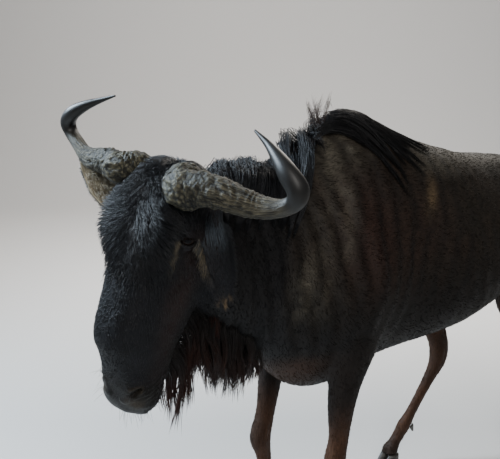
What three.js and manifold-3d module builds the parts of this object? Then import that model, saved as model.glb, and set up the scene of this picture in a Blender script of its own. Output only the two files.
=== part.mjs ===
// A life-size blue wildebeest bull, standing with its right hind foot forward and its head lowered and
// turned a little to its left. Millimetres. +X is the animal's left, +Y its rear, +Z up, and the floor is z = 0.
import * as THREE from "three";
import { mergeVertices } from "three/addons/utils/BufferGeometryUtils.js";
import Module from "manifold-3d";

const wasm = await Module();
wasm.setup();
const { Manifold, Mesh: SolidMesh } = wasm;

// Driving sizes
const GAP = 0.35; // clearance between two nodes that touch
const TRUNK_SIDES = 26;
const TRUNK_STEPS = 30;
const HEAD_SIDES = 22;
const HEAD_STEPS = 25;
const EYE_RADIUS = 23;
const LID_THICKNESS = 4;
const EAR = {
  length: 218,
  halfWidth: 52,
  thickness: 7,
  rootHalfWidth: 19,
  rootThickness: 16,
  sunk: 0.12, // share of the length that lies in the head
  skew: 0.88, // below 1 the leaf is widest nearer its root
  fullness: 0.72, // below 1 the leaf keeps its width for longer
};
const CORONET_HEIGHT = 62; // where the leg ends and the two claws begin
const NOSTRIL_RADIUS = 8;

// The head's own frame: its origin lies between the horn bosses, x to its left, y to its back, z up along the face
const HEAD_PLACE = new THREE.Vector3(151, -1048, 1291);
const HEAD_YAW = 8.4;
const HEAD_PITCH = -9.2;
const HEAD_ROLL = 7.9;

const degrees = THREE.MathUtils.degToRad;
const headMatrix = new THREE.Matrix4().compose(
  HEAD_PLACE,
  new THREE.Quaternion().setFromEuler(
    new THREE.Euler(degrees(HEAD_PITCH), degrees(HEAD_ROLL), degrees(HEAD_YAW), "ZXY"),
  ),
  new THREE.Vector3(1, 1, 1),
);

// Trunk from the buttocks to the back of the skull: y, sideways shift, top, bottom, half width, height of the
// widest place, fullness of the upper half, fullness of the lower half
const TRUNK = [
  [738, 0, 1110, 1010, 34, 1060, 2.0, 2.0],
  [718, 0, 1150, 940, 84, 1045, 2.0, 2.0],
  [675, 0, 1182, 890, 136, 1030, 2.0, 2.0],
  [600, 0, 1206, 838, 184, 1015, 2.0, 2.0],
  [490, 0, 1226, 785, 224, 1000, 2.0, 2.0],
  [345, 0, 1240, 742, 242, 985, 2.1, 2.1],
  [190, 0, 1256, 700, 268, 965, 2.1, 2.2],
  [40, 0, 1290, 672, 276, 955, 2.0, 2.2],
  [-110, 0, 1328, 664, 266, 955, 1.9, 2.1],
  [-240, 0, 1366, 654, 245, 960, 1.8, 2.0],
  [-350, 0, 1386, 636, 230, 965, 1.75, 1.9],
  [-450, 3, 1360, 614, 222, 960, 1.75, 1.9],
  [-530, 8, 1322, 618, 205, 955, 1.8, 1.9],
  [-600, 16, 1292, 650, 182, 965, 1.85, 1.9],
  [-670, 28, 1268, 712, 156, 985, 1.9, 1.9],
  [-740, 44, 1250, 780, 132, 1010, 1.9, 1.95],
  [-820, 68, 1242, 850, 114, 1045, 1.9, 2.0],
  [-900, 96, 1244, 900, 104, 1075, 2.0, 2.0],
  [-960, 118, 1246, 940, 96, 1095, 2.0, 2.0],
  [-1000, 132, 1215, 985, 70, 1100, 2.0, 2.0],
];
// Swellings and hollows of the flank: y, z, length, height, how far out
const TRUNK_RELIEF = [
  [-430, 1010, 95, 210, 20],
  [-520, 850, 70, 110, 16],
  [-330, 1230, 80, 90, 8],
  [-235, 930, 60, 190, -14],
  [450, 960, 130, 160, 20],
  [300, 1060, 80, 110, -16],
  [385, 1165, 45, 45, 12],
  [-660, 1030, 90, 130, -8],
  [60, 860, 220, 130, 8],
];

// Legs, from deep in the trunk to the coronet: x, y, z, half width, fore depth, rear depth
const FORELEG_LEFT = [
  [150, -452, 960, 48, 95, 85],
  [166, -452, 860, 50, 92, 84],
  [166, -456, 780, 50, 92, 72],
  [158, -466, 720, 47, 78, 56],
  [150, -478, 660, 42, 64, 46],
  [145, -488, 590, 36, 51, 40],
  [140, -493, 500, 29, 35, 35],
  [138, -500, 445, 31, 37, 32],
  [136, -500, 405, 31, 37, 33],
  [134, -494, 365, 25, 28, 30],
  [133, -488, 290, 20, 22, 26],
  [133, -486, 215, 21, 23, 28],
  [133, -488, 172, 26, 29, 33],
  [134, -498, 140, 24, 26, 30],
  [136, -512, 108, 24, 26, 27],
  [138, -524, 82, 31, 33, 32],
  [139, -528, CORONET_HEIGHT, 35, 37, 36],
];
const FORELEG_RIGHT = [
  [-145, -458, 960, 48, 95, 85],
  [-158, -460, 860, 50, 92, 84],
  [-158, -462, 780, 46, 74, 74],
  [-148, -474, 720, 42, 56, 60],
  [-140, -488, 660, 38, 48, 50],
  [-134, -506, 590, 35, 42, 42],
  [-130, -526, 500, 29, 35, 34],
  [-129, -540, 445, 31, 38, 32],
  [-129, -545, 405, 31, 40, 32],
  [-130, -538, 365, 25, 30, 30],
  [-132, -525, 290, 20, 22, 26],
  [-134, -515, 215, 21, 23, 28],
  [-135, -512, 172, 26, 29, 33],
  [-137, -520, 140, 24, 26, 30],
  [-139, -534, 108, 24, 26, 27],
  [-141, -546, 82, 31, 33, 32],
  [-142, -550, CORONET_HEIGHT, 35, 37, 36],
];
const HINDLEG_LEFT = [
  [130, 470, 1010, 60, 150, 170],
  [150, 455, 920, 66, 168, 178],
  [156, 440, 840, 62, 160, 160],
  [152, 448, 765, 55, 150, 118],
  [146, 480, 690, 48, 108, 84],
  [140, 525, 620, 41, 70, 62],
  [136, 572, 550, 31, 42, 46],
  [134, 610, 492, 30, 37, 50],
  [134, 626, 440, 29, 36, 42],
  [134, 625, 380, 24, 29, 31],
  [135, 616, 290, 21, 24, 27],
  [136, 608, 215, 22, 24, 29],
  [137, 602, 172, 26, 29, 34],
  [138, 594, 140, 24, 26, 30],
  [140, 582, 108, 24, 26, 27],
  [142, 572, 82, 31, 33, 32],
  [143, 568, CORONET_HEIGHT, 35, 37, 36],
];
const HINDLEG_RIGHT = [
  [-125, 430, 1010, 60, 160, 160],
  [-146, 390, 920, 66, 172, 170],
  [-152, 345, 840, 62, 168, 160],
  [-148, 318, 765, 55, 168, 122],
  [-140, 312, 690, 48, 128, 90],
  [-132, 324, 620, 41, 80, 66],
  [-127, 348, 545, 33, 50, 52],
  [-126, 368, 480, 31, 42, 52],
  [-130, 370, 428, 30, 38, 44],
  [-140, 345, 372, 24, 29, 31],
  [-160, 308, 290, 21, 24, 27],
  [-180, 276, 215, 22, 24, 29],
  [-192, 258, 172, 26, 29, 34],
  [-200, 244, 140, 24, 26, 30],
  [-208, 228, 108, 24, 26, 27],
  [-214, 215, 82, 31, 33, 32],
  [-216, 210, CORONET_HEIGHT, 35, 37, 36],
];
const LEG_SIDES = 10;
const LEG_STEPS = 23;

// Head, from the poll to the chin, in its own frame: z, front, back, half width, fullness
const SKULL = [
  [34, 32, -20, 34, 2.0],
  [20, 68, -62, 68, 2.2],
  [-10, 90, -102, 92, 2.6],
  [-50, 101, -130, 101, 2.9],
  [-100, 106, -146, 104, 3.1],
  [-150, 108, -152, 100, 3.0],
  [-200, 110, -150, 91, 3.0],
  [-250, 118, -132, 83, 3.0],
  [-300, 125, -112, 76, 3.0],
  [-340, 129, -97, 72, 3.0],
  [-372, 124, -86, 70, 2.9],
  [-400, 103, -78, 69, 2.8],
  [-425, 83, -70, 69, 2.8],
  [-455, 69, -63, 70, 2.8],
  [-485, 62, -60, 70, 2.8],
  [-510, 55, -57, 67, 2.9],
  [-524, 47, -51, 60, 2.8],
  [-533, 33, -41, 48, 2.5],
  [-537, 11, -23, 23, 2.1],
];
const JAW_NARROWING = 0.28; // how much narrower the head is at the back than at the front
// Swellings of the head: side, front, z, radius, how far out
const HEAD_RELIEF = [
  [92, 76, -92, 40, 8],
  [94, 86, -134, 66, 20],
  [104, 36, -116, 34, -9],
  [62, 80, -52, 40, 6],
  [66, 20, -200, 46, -9],
  [84, -70, -170, 60, 7],
  [56, 42, -462, 34, 6],
];
const MOUTH_SLOT = { thickness: 2.4, bottom: -575, top: -436, frontAtBottom: 2, frontAtTop: -22 };

// Horn, left one: x, front, z, half height, half depth
const HORN = [
  [44, 42, -6, 30, 30],
  [67, 48, 0, 42, 42],
  [88, 62, -4, 45, 46],
  [107, 73, -5, 41, 42],
  [141, 72, 3, 38, 36],
  [188, 63, 6, 33, 31],
  [233, 51, 2, 29, 26],
  [276, 38, 1, 23, 24],
  [316, 32, 11, 18, 23],
  [344, 35, 30, 18, 22],
  [350, 44, 53, 22, 23],
  [327, 52, 77, 21, 20],
  [293, 47, 100, 15, 15],
  [254, 38, 120, 8.5, 8],
  [212, 32, 138, 2.5, 2.5],
];
const HORN_FULLNESS = { left: 1, right: 0.85 }; // the right horn is the slimmer one
const RIGHT_HORN_LIFT = -14; // and dips a little, halfway along
const RIGHT_HORN_SPREAD = 0.99;
const HORN_SIDES = 12;
const HORN_STEPS = 26;
const BOSS_ROUGHNESS = 2.2;

// Eye centres and the way they look, left one, in the head's frame: side, front, z
const EYE_CENTRE = [86, 31, -112];
const EYE_LOOK = [0.9, 0.42, -0.08];
const FISSURE_HALF_LENGTH = 20;
const FISSURE_HALF_HEIGHT = 11;

// Ears in the head's frame: root, the way they point and the way the cup opens
const EARS = {
  left: { root: [96, -38, -58], along: [0.27, -0.14, -0.95], open: [-0.98, 0.05, -0.25] },
  right: { root: [-116, -13, -107], along: [-0.855, 0.297, 0.426], open: [0.463, 0.808, 0.365] },
};

// Tail: x, y, z, half width, half depth
const TAIL = [
  [0, 690, 1120, 30, 30],
  [0, 735, 1100, 28, 26],
  [2, 772, 1050, 23, 21],
  [4, 788, 970, 19, 18],
  [6, 792, 880, 16, 15],
  [8, 790, 790, 14, 13],
  [10, 786, 700, 12, 11],
  [12, 782, 620, 9, 9],
  [13, 780, 570, 5, 5],
];

// Claw of a cloven hoof, from the sole to the coronet: z, middle (forward), half length, half width, fullness
const CLAW = [
  [0, 20, 44, 16.5, 2.4],
  [12, 18, 44, 17.5, 2.4],
  [32, 11, 38, 17.5, 2.3],
  [50, 4, 31, 16.5, 2.2],
  [CORONET_HEIGHT - GAP, -1, 26, 15, 2.2],
];
const CLAW_SIDES = 12;
const CLAW_SPREAD = 19; // half the distance between the two claws' middles

// Hair. Each kind is laid in rows of locks; lengths and widths in millimetres, angles round the trunk in degrees
const ROOT_LEAN = 75; // how far a lock's broad side is turned at its upright root
const MANE = {
  from: -985,
  to: -480,
  locks: 20,
  width: 54,
  uprightWidth: 70, // every third lock stands on the crest, behind the falling ones
  thickness: 11,
  root: 98,
  turn: -60,
  drift: -0.01,
  rises: [[58], [74], [66], [30], [42], [70]], // how high it stands, from the poll to the withers
  rest: 12, // how far from the skin the tips lie
};
const WITHERS = {
  from: -475,
  to: -290,
  locks: 7,
  width: 42,
  thickness: 10,
  root: 92,
  turn: -58,
  drift: -0.1,
  rise: 22,
  rest: 11,
};
const THROAT = { from: -960, to: -700, locks: 14, width: 46, thickness: 11, length: 150 };
const BEARD = { from: -205, to: -400, locks: 12, width: 42, thickness: 11, length: 175 };
const FORELOCK = { locks: 10, width: 34, thickness: 10, length: 105 };
const TUFT = { from: 860, locks: 16, width: 30, thickness: 10, length: 250, tip: 330 };

const axisX = new THREE.Vector3(1, 0, 0);
const axisY = new THREE.Vector3(0, 1, 0);
const axisZ = new THREE.Vector3(0, 0, 1);

// A closed mesh as a solid, turned right way out
function solidFrom(vertices, triangles) {
  let volume = 0;
  const [a, b, c] = [new THREE.Vector3(), new THREE.Vector3(), new THREE.Vector3()];
  for (let i = 0; i < triangles.length; i += 3) {
    a.fromArray(vertices, triangles[i] * 3);
    b.fromArray(vertices, triangles[i + 1] * 3);
    c.fromArray(vertices, triangles[i + 2] * 3);
    volume += a.dot(b.cross(c));
  }
  if (volume < 0)
    for (let i = 0; i < triangles.length; i += 3)
      [triangles[i + 1], triangles[i + 2]] = [triangles[i + 2], triangles[i + 1]];
  return new Manifold(
    new SolidMesh({
      numProp: 3,
      vertProperties: new Float32Array(vertices),
      triVerts: new Uint32Array(triangles),
    }),
  );
}

// A three.js geometry, placed by a matrix, as a solid
function solidOf(geometry, matrix) {
  const plain = new THREE.BufferGeometry().setAttribute("position", geometry.getAttribute("position").clone());
  if (geometry.index) plain.setIndex(geometry.index.clone());
  if (matrix) plain.applyMatrix4(matrix);
  const merged = mergeVertices(plain, 1e-3);
  return solidFrom([...merged.attributes.position.array], [...merged.index.array]);
}

// Rings of points joined into one closed skin; an end ring of one point is a tip
function loft(rings) {
  const vertices = [];
  const starts = rings.map((ring) => {
    const first = vertices.length / 3;
    for (const p of ring) vertices.push(p.x, p.y, p.z);
    return first;
  });
  const triangles = [];
  for (let i = 0; i + 1 < rings.length; i++) {
    const [a, b] = [starts[i], starts[i + 1]];
    const [na, nb] = [rings[i].length, rings[i + 1].length];
    const n = Math.max(na, nb);
    for (let j = 0; j < n; j++) {
      const k = (j + 1) % n;
      if (nb > 1) triangles.push(a + (na > 1 ? j : 0), b + j, b + k);
      if (na > 1) triangles.push(a + j, nb > 1 ? b + k : b, a + k);
    }
  }
  for (const [ring, start, flip] of [
    [rings[0], starts[0], false],
    [rings.at(-1), starts.at(-1), true],
  ]) {
    if (ring.length === 1) continue;
    const middle = ring.reduce((sum, p) => sum.add(p), new THREE.Vector3()).divideScalar(ring.length);
    const hub = vertices.length / 3;
    vertices.push(middle.x, middle.y, middle.z);
    for (let j = 0; j < ring.length; j++) {
      const k = (j + 1) % ring.length;
      if (flip) triangles.push(start + j, hub, start + k);
      else triangles.push(start + j, start + k, hub);
    }
  }
  return solidFrom(vertices, triangles);
}

// Rows of numbers read as smooth curves over t from 0 to 1, with equal steps from row to row
function rowsAt(rows, t) {
  const s = THREE.MathUtils.clamp(t, 0, 1) * (rows.length - 1);
  const i = Math.min(Math.floor(s), rows.length - 2);
  const u = s - i;
  return rows[0].map((_, column) => {
    const [p0, p1, p2, p3] = [-1, 0, 1, 2].map(
      (step) => rows[THREE.MathUtils.clamp(i + step, 0, rows.length - 1)][column],
    );
    const [m1, m2] = [(p2 - p0) / 2, (p3 - p1) / 2];
    const [u2, u3] = [u * u, u * u * u];
    return (2 * u3 - 3 * u2 + 1) * p1 + (u3 - 2 * u2 + u) * m1 + (3 * u2 - 2 * u3) * p2 + (u3 - u2) * m2;
  });
}

// A point of a superellipse of unit size
function fullCurve(angle, fullness) {
  const [c, s] = [Math.cos(angle), Math.sin(angle)];
  return [
    Math.sign(c) * Math.abs(c) ** (2 / fullness),
    Math.sign(s) * Math.abs(s) ** (2 / fullness),
  ];
}

const bell = (x) => Math.exp(-0.5 * x * x);

// The trunk's skin at t along it and at an angle round it, grown outward
function trunkPoint(t, angle, grow = 0) {
  const [y, shift, top, bottom, half, widest, fullUp, fullDown] = rowsAt(TRUNK, t);
  const upper = Math.sin(angle) >= 0;
  const [cx, cz] = fullCurve(angle, upper ? fullUp : fullDown);
  const z = widest + cz * (upper ? top - widest : widest - bottom);
  let out = grow;
  for (const [ry, rz, length, height, far] of TRUNK_RELIEF)
    out += far * bell((y - ry) / length) * bell((z - rz) / height) * Math.abs(cx);
  return new THREE.Vector3(shift + cx * half + Math.sign(cx) * Math.abs(cx) * out, y, z + cz * grow);
}

function trunk(grow = 0) {
  const rings = [];
  for (let i = 0; i <= TRUNK_STEPS; i++)
    rings.push(
      Array.from({ length: TRUNK_SIDES }, (_, j) =>
        trunkPoint(i / TRUNK_STEPS, (2 * Math.PI * (j + 0.5)) / TRUNK_SIDES, grow),
      ),
    );
  return loft(rings);
}

// A leg: sections square to its path, deeper in front or behind
function leg(rows, grow = 0) {
  const path = new THREE.CatmullRomCurve3(rows.map(([x, y, z]) => new THREE.Vector3(x, y, z)));
  const rings = [];
  for (let i = 0; i <= LEG_STEPS; i++) {
    const t = i / LEG_STEPS;
    const [x, y, z, half, fore, rear] = rowsAt(rows, t);
    const down = path.getTangent(t);
    if (i === LEG_STEPS) down.set(0, 0, -1);
    const side = axisX.clone().addScaledVector(down, -axisX.dot(down)).normalize();
    const ahead = down.clone().cross(side);
    rings.push(
      Array.from({ length: LEG_SIDES }, (_, j) => {
        const [c, s] = fullCurve((2 * Math.PI * j) / LEG_SIDES, 2.15);
        return new THREE.Vector3(x, y, z)
          .addScaledVector(side, c * (half + grow))
          .addScaledVector(ahead, s * ((s > 0 ? fore : rear) + grow));
      }),
    );
  }
  return loft(rings);
}

// Half of space, behind a plane
function halfSpace(point, outward) {
  const size = 6000;
  const box = new THREE.BoxGeometry(size, size, size).translate(0, 0, -size / 2);
  const turn = new THREE.Quaternion().setFromUnitVectors(axisZ, outward.clone().normalize());
  return solidOf(box, new THREE.Matrix4().compose(point, turn, new THREE.Vector3(1, 1, 1)));
}

// The two sides of a plane, with a gap between them
function bothSides(point, outward) {
  const normal = outward.clone().normalize();
  return {
    behind: halfSpace(point.clone().addScaledVector(normal, -GAP / 2), normal),
    ahead: halfSpace(point.clone().addScaledVector(normal, GAP / 2), normal.clone().negate()),
  };
}

function union(pieces) {
  return pieces.reduce((sum, piece) => sum.add(piece));
}

// The largest closed body of a solid
function largest(solid) {
  return solid.decompose().reduce((best, body) => (body.volume() > best.volume() ? body : best));
}

// A point given as side, front and z in the head's frame
const headLocal = (side, front, z) => new THREE.Vector3(side, -front, z);
const headPoint = (side, front, z) => headLocal(side, front, z).applyMatrix4(headMatrix);

// The head's skin: level sections in the head's frame
function headSkin(t, angle, grow) {
  const [z, front, back, half, fullness] = rowsAt(SKULL, t);
  const [c, s] = fullCurve(angle, fullness);
  const narrow = 1 - JAW_NARROWING * THREE.MathUtils.smoothstep(-s, -0.4, 1);
  const middle = (front + back) / 2;
  const local = headLocal(c * (half * narrow + grow), middle + s * ((front - back) / 2 + grow), z);
  for (const [side, ahead, height, radius, far] of HEAD_RELIEF) {
    const d = Math.hypot(Math.abs(local.x) - side, -local.y - ahead, local.z - height);
    const out = far * bell(d / (radius * 0.6));
    local.x += c * out;
    local.y -= s * out;
  }
  return local.applyMatrix4(headMatrix);
}

function headLoft(grow = 0) {
  const rings = [];
  for (let i = 0; i <= HEAD_STEPS; i++)
    rings.push(
      Array.from({ length: HEAD_SIDES }, (_, j) =>
        headSkin(i / HEAD_STEPS, (2 * Math.PI * (j + 0.5)) / HEAD_SIDES, grow),
      ),
    );
  if (grow) {
    const up = new THREE.Vector3(0, 0, grow).transformDirection(headMatrix).multiplyScalar(grow);
    rings[0].forEach((p) => p.add(up));
    rings.at(-1).forEach((p) => p.sub(up));
  }
  return loft(rings);
}

// The line of the mouth, as a thin slot up to the corners of the lips
function mouthSlot() {
  const { thickness, bottom, top, frontAtBottom, frontAtTop } = MOUTH_SLOT;
  const slot = new THREE.BoxGeometry(300, thickness, top - bottom);
  slot.rotateX(Math.atan2(frontAtTop - frontAtBottom, top - bottom));
  const place = headLocal(0, (frontAtBottom + frontAtTop) / 2, (bottom + top) / 2);
  return solidOf(slot, headMatrix.clone().multiply(new THREE.Matrix4().setPosition(place)));
}

// Horn: oval sections along its curve, rough on the boss
function horn(sign, grow = 0) {
  const fullness = sign > 0 ? HORN_FULLNESS.left : HORN_FULLNESS.right;
  const path = new THREE.CatmullRomCurve3(HORN.map(([x, front, z]) => headLocal(x, front, z)));
  const rings = [];
  for (let i = 0; i <= HORN_STEPS; i++) {
    const t = i / HORN_STEPS;
    const [x, front, z, high, deep] = rowsAt(HORN, t);
    const along = path.getTangent(t);
    const depth = axisY.clone().addScaledVector(along, -axisY.dot(along)).normalize();
    const height = along.clone().cross(depth);
    const rough = BOSS_ROUGHNESS * (1 - THREE.MathUtils.smoothstep(t, 0.25, 0.55));
    rings.push(
      Array.from({ length: HORN_SIDES }, (_, j) => {
        const angle = (2 * Math.PI * j) / HORN_SIDES;
        const bump = rough * Math.sin(5 * angle + 9 * i) + rough * 0.6 * Math.sin(i * 2.4);
        const p = headLocal(x, front, z)
          .addScaledVector(depth, Math.cos(angle) * (fullness * deep + bump + grow))
          .addScaledVector(height, Math.sin(angle) * (fullness * high + bump + grow));
        if (sign < 0) {
          p.z += RIGHT_HORN_LIFT * bell((p.x - 220) / 60) * (1 - THREE.MathUtils.smoothstep(t, 0.5, 0.62));
          p.x *= -RIGHT_HORN_SPREAD;
        }
        return p.applyMatrix4(headMatrix);
      }),
    );
  }
  return loft(rings);
}

function eyeball(sign, grow = 0) {
  const [side, front, z] = EYE_CENTRE;
  const ball = new THREE.SphereGeometry(EYE_RADIUS + grow, 14, 9);
  const place = headPoint(side * sign, front, z);
  return solidOf(ball, new THREE.Matrix4().setPosition(place));
}

// The lids' own swelling over the eyeball
function orbit(sign, grow = 0) {
  const [side, front, z] = EYE_CENTRE;
  const ball = new THREE.SphereGeometry(EYE_RADIUS + LID_THICKNESS + grow, 14, 9);
  const stretched = new THREE.Matrix4().makeScale(1, 1.12, 1.08).setPosition(headLocal(side * sign, front, z));
  return solidOf(ball, headMatrix.clone().multiply(stretched));
}

// The almond opening between the lids
function fissure(sign) {
  const lens = new THREE.Shape();
  const count = 8;
  for (let i = 0; i < 2 * count; i++) {
    const a = (Math.PI * i) / count;
    const x = FISSURE_HALF_LENGTH * Math.cos(a);
    const y = FISSURE_HALF_HEIGHT * Math.sin(a) * Math.abs(Math.sin(a)) ** 0.4;
    if (i) lens.lineTo(x, y);
    else lens.moveTo(x, y);
  }
  const prism = new THREE.ExtrudeGeometry(lens, { depth: 60, bevelEnabled: false });
  const [lx, lf, lz] = EYE_LOOK;
  const look = headLocal(lx * sign, lf, lz).normalize();
  const high = axisZ.clone().addScaledVector(look, -axisZ.dot(look)).normalize();
  const wide = high.clone().cross(look);
  const turn = new THREE.Matrix4().makeBasis(wide, high, look);
  const [side, front, z] = EYE_CENTRE;
  turn.setPosition(headLocal(side * sign, front, z));
  return solidOf(prism, headMatrix.clone().multiply(turn));
}

// A comma-shaped nostril, cut into the front corner of the muzzle
function nostril(sign) {
  const rows = [
    [18, 61, -496, 0.35],
    [27, 63, -495, 0.8],
    [37, 63, -488, 1],
    [47, 60, -477, 0.95],
    [56, 53, -464, 0.7],
    [61, 45, -454, 0.3],
  ];
  const path = new THREE.CatmullRomCurve3(rows.map(([x, front, z]) => headLocal(x, front, z)));
  const rings = [];
  const steps = 8;
  for (let i = 0; i <= steps; i++) {
    const [x, front, z, size] = rowsAt(rows, i / steps);
    const along = path.getTangent(i / steps);
    const side = axisZ.clone().addScaledVector(along, -axisZ.dot(along)).normalize();
    const other = along.clone().cross(side);
    rings.push(
      Array.from({ length: 8 }, (_, j) => {
        const angle = (Math.PI * j) / 4;
        const p = headLocal(x, front, z)
          .addScaledVector(side, Math.cos(angle) * size * NOSTRIL_RADIUS)
          .addScaledVector(other, Math.sin(angle) * size * NOSTRIL_RADIUS * 1.4);
        p.x *= sign;
        return p.applyMatrix4(headMatrix);
      }),
    );
  }
  return loft(rings);
}

// Ear: a leaf-shaped cup with walls of one thickness, on a round root
function ear({ root, along, open }, grow = 0) {
  const axis = headLocal(...along).normalize();
  const front = headLocal(...open);
  front.addScaledVector(axis, -front.dot(axis)).normalize();
  const side = axis.clone().cross(front);
  const rings = [];
  const steps = 9;
  const across = 6;
  for (let i = 0; i <= steps; i++) {
    const t = i / steps;
    const leaf = Math.sin(Math.PI * (EAR.sunk + (1 - EAR.sunk) * t) ** EAR.skew) ** EAR.fullness;
    const half = Math.max(EAR.halfWidth * leaf, t < 0.3 ? EAR.rootHalfWidth : 3);
    const cup = 0.95 - 0.55 * t; // how deeply the cross-section curls
    const wall = (t < EAR.sunk ? EAR.rootThickness : EAR.thickness) * (1 - 0.5 * t);
    const ring = [];
    for (const [layer, sense] of [
      [0, 1],
      [1, -1],
    ])
      for (let j = 0; j < across; j++) {
        const v = sense * (1 - (2 * j) / (across - 1));
        const bend = v * cup * 1.5;
        const radius = half + (layer ? -wall / 2 : wall / 2) + (layer ? -grow : grow);
        const depth = half * 0.9 * cup * (1 - Math.cos(bend)) - (layer ? -wall / 2 - grow : wall / 2 + grow);
        ring.push(
          headLocal(...root)
            .addScaledVector(axis, (t - EAR.sunk) * EAR.length + (i === steps ? grow : 0))
            .addScaledVector(side, v * radius * (1 - 0.16 * cup * v * v))
            .addScaledVector(front, depth)
            .applyMatrix4(headMatrix),
        );
      }
    rings.push(ring);
  }
  return loft(rings);
}

// The same number for the same seed, between 0 and 1
function chance(seed) {
  const wave = Math.sin(seed * 12.9898 + 4.1414) * 43758.5453;
  return wave - Math.floor(wave);
}

// A lock of hair: flat, widest near its root, tapered to a tip, along a path of points with its face to a side
function lock(points, faces, width, thickness, grow = 0) {
  const path = new THREE.CatmullRomCurve3(points);
  const steps = 4;
  const rings = [];
  for (let i = 0; i < steps; i++) {
    const t = i / steps;
    const along = path.getTangent(t);
    const face = faces(t).clone();
    face.addScaledVector(along, -face.dot(along)).normalize();
    const across = along.clone().cross(face);
    const taper = (0.75 + 0.9 * t - 1.35 * t * t);
    const wide = (width / 2) * taper + grow;
    const thick = (thickness / 2) * (1 - 0.55 * t) + grow;
    const at = path.getPoint(t);
    rings.push([
      at.clone().addScaledVector(across, wide),
      at.clone().addScaledVector(face, thick),
      at.clone().addScaledVector(across, -wide),
      at.clone().addScaledVector(face, -thick),
    ]);
  }
  rings.push([path.getPoint(1).addScaledVector(path.getTangent(1), grow * 3)]);
  return loft(rings);
}

// Where along the trunk a place y lies
function trunkStation(y) {
  let [low, high] = [0, 1];
  for (let i = 0; i < 30; i++) {
    const t = (low + high) / 2;
    if (rowsAt(TRUNK, t)[0] > y) low = t;
    else high = t;
  }
  return (low + high) / 2;
}

function trunkNormal(t, angle) {
  const step = 0.004;
  const along = trunkPoint(t + step, angle).sub(trunkPoint(t - step, angle));
  const round = trunkPoint(t, angle + step).sub(trunkPoint(t, angle - step));
  return round.cross(along).normalize();
}

// A lock that lies over the trunk's skin: it rises from its root, drifts along the trunk and turns round it, and
// comes to rest near the skin
function drapedLock({ t, angle, drift, turn, rise, rest, width, thickness }, grow) {
  const heights = [-16, 0.95 * rise, rise, (rise + rest) / 2, rest];
  const points = heights.map((far, i) => {
    const s = i / (heights.length - 1);
    const [ti, ai] = [t + drift * s, angle + turn * s];
    return trunkPoint(ti, ai).addScaledVector(trunkNormal(ti, ai), far);
  });
  const lean = Math.sign(turn) * degrees(ROOT_LEAN);
  const faces = (s) => trunkNormal(t + drift * s, angle + turn * s - lean * Math.max(0, 1 - s / 0.45));
  return lock(points, faces, width, thickness, grow);
}

// A lock that stands on the crest with its broad side to the left, its tip bent over to the left and the rear
function uprightLock(t, rise, width, thickness, grow) {
  const root = trunkPoint(t, degrees(90));
  const up = trunkNormal(t, degrees(90));
  const points = [-16, 0.32 * rise, 0.62 * rise, 0.82 * rise, 0.9 * rise].map((far, i) => {
    const bend = rise * (i / 4) ** 2;
    return root.clone().addScaledVector(up, far).addScaledVector(axisX, 0.45 * bend).addScaledVector(axisY, 0.3 * bend);
  });
  return lock(points, () => axisX, width, thickness, grow);
}

// The mane stands up along the crest of the neck and falls to the left
function maneLocks(grow = 0) {
  return Array.from({ length: MANE.locks }, (_, i) => {
    const share = i / (MANE.locks - 1);
    const t = trunkStation(MANE.from + (MANE.to - MANE.from) * share);
    const rise = rowsAt(MANE.rises, share)[0] * (0.85 + 0.2 * chance(i + 3));
    if (i % 3 === 2) return uprightLock(t, rise, MANE.uprightWidth, MANE.thickness, grow);
    const place = {
      t,
      angle: degrees(MANE.root),
      drift: MANE.drift * (0.4 + 1.2 * chance(i + 7)),
      turn: degrees(MANE.turn * (0.8 + 0.4 * chance(i))),
      rise,
      rest: MANE.rest,
      width: MANE.width * (0.8 + 0.4 * chance(i + 5)),
      thickness: MANE.thickness,
    };
    return drapedLock(place, grow);
  });
}

// Long strands from the withers, swept back over the left shoulder
function withersLocks(grow = 0) {
  return Array.from({ length: WITHERS.locks }, (_, i) => {
    const share = i / (WITHERS.locks - 1);
    const place = {
      t: trunkStation(WITHERS.from + (WITHERS.to - WITHERS.from) * share),
      angle: degrees(WITHERS.root),
      drift: WITHERS.drift * (0.75 + 0.5 * chance(i + 45)),
      turn: degrees(WITHERS.turn * (0.45 + 0.55 * chance(i + 40))),
      rise: WITHERS.rise * (0.8 + 0.5 * chance(i + 50)),
      rest: WITHERS.rest,
      width: WITHERS.width,
      thickness: WITHERS.thickness,
    };
    return drapedLock(place, grow);
  });
}

// A lock that starts at a root, leaves along a direction and then hangs
function hangingLock(root, leave, sunk, length, sway, turned, width, thickness, grow) {
  const points = [
    root.clone().addScaledVector(leave, -sunk),
    root.clone().addScaledVector(leave, 0.06 * length),
    root.clone().addScaledVector(leave, 0.16 * length).add(new THREE.Vector3(sway.x * 0.2, sway.y * 0.2, -0.33 * length)),
    root.clone().addScaledVector(leave, 0.17 * length).add(new THREE.Vector3(sway.x * 0.55, sway.y * 0.55, -0.68 * length)),
    root.clone().addScaledVector(leave, 0.12 * length).add(new THREE.Vector3(sway.x, sway.y, -length)),
  ];
  const face = axisX.clone().applyAxisAngle(axisZ, degrees(90 * (turned - 0.5)));
  return lock(points, () => face, width, thickness, grow);
}

// The fringe under the throat
function throatLocks(grow = 0) {
  return Array.from({ length: THROAT.locks }, (_, i) => {
    const y = THROAT.from + ((THROAT.to - THROAT.from) * i) / THROAT.locks;
    const angle = degrees(-90 + 26 * ((i % 3) - 1) * (0.8 + 0.4 * chance(i)));
    const t = trunkStation(y);
    const shorter = 1 - 0.45 * (i / THROAT.locks);
    const length = THROAT.length * shorter * (0.75 + 0.5 * chance(i + 9));
    const sway = { x: 14 * (chance(i + 2) - 0.5), y: 26 * (chance(i + 4) - 0.2) };
    return hangingLock(
      trunkPoint(t, angle),
      trunkNormal(t, angle),
      20,
      length,
      sway,
      chance(i + 11),
      THROAT.width,
      THROAT.thickness,
      grow,
    );
  });
}

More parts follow.
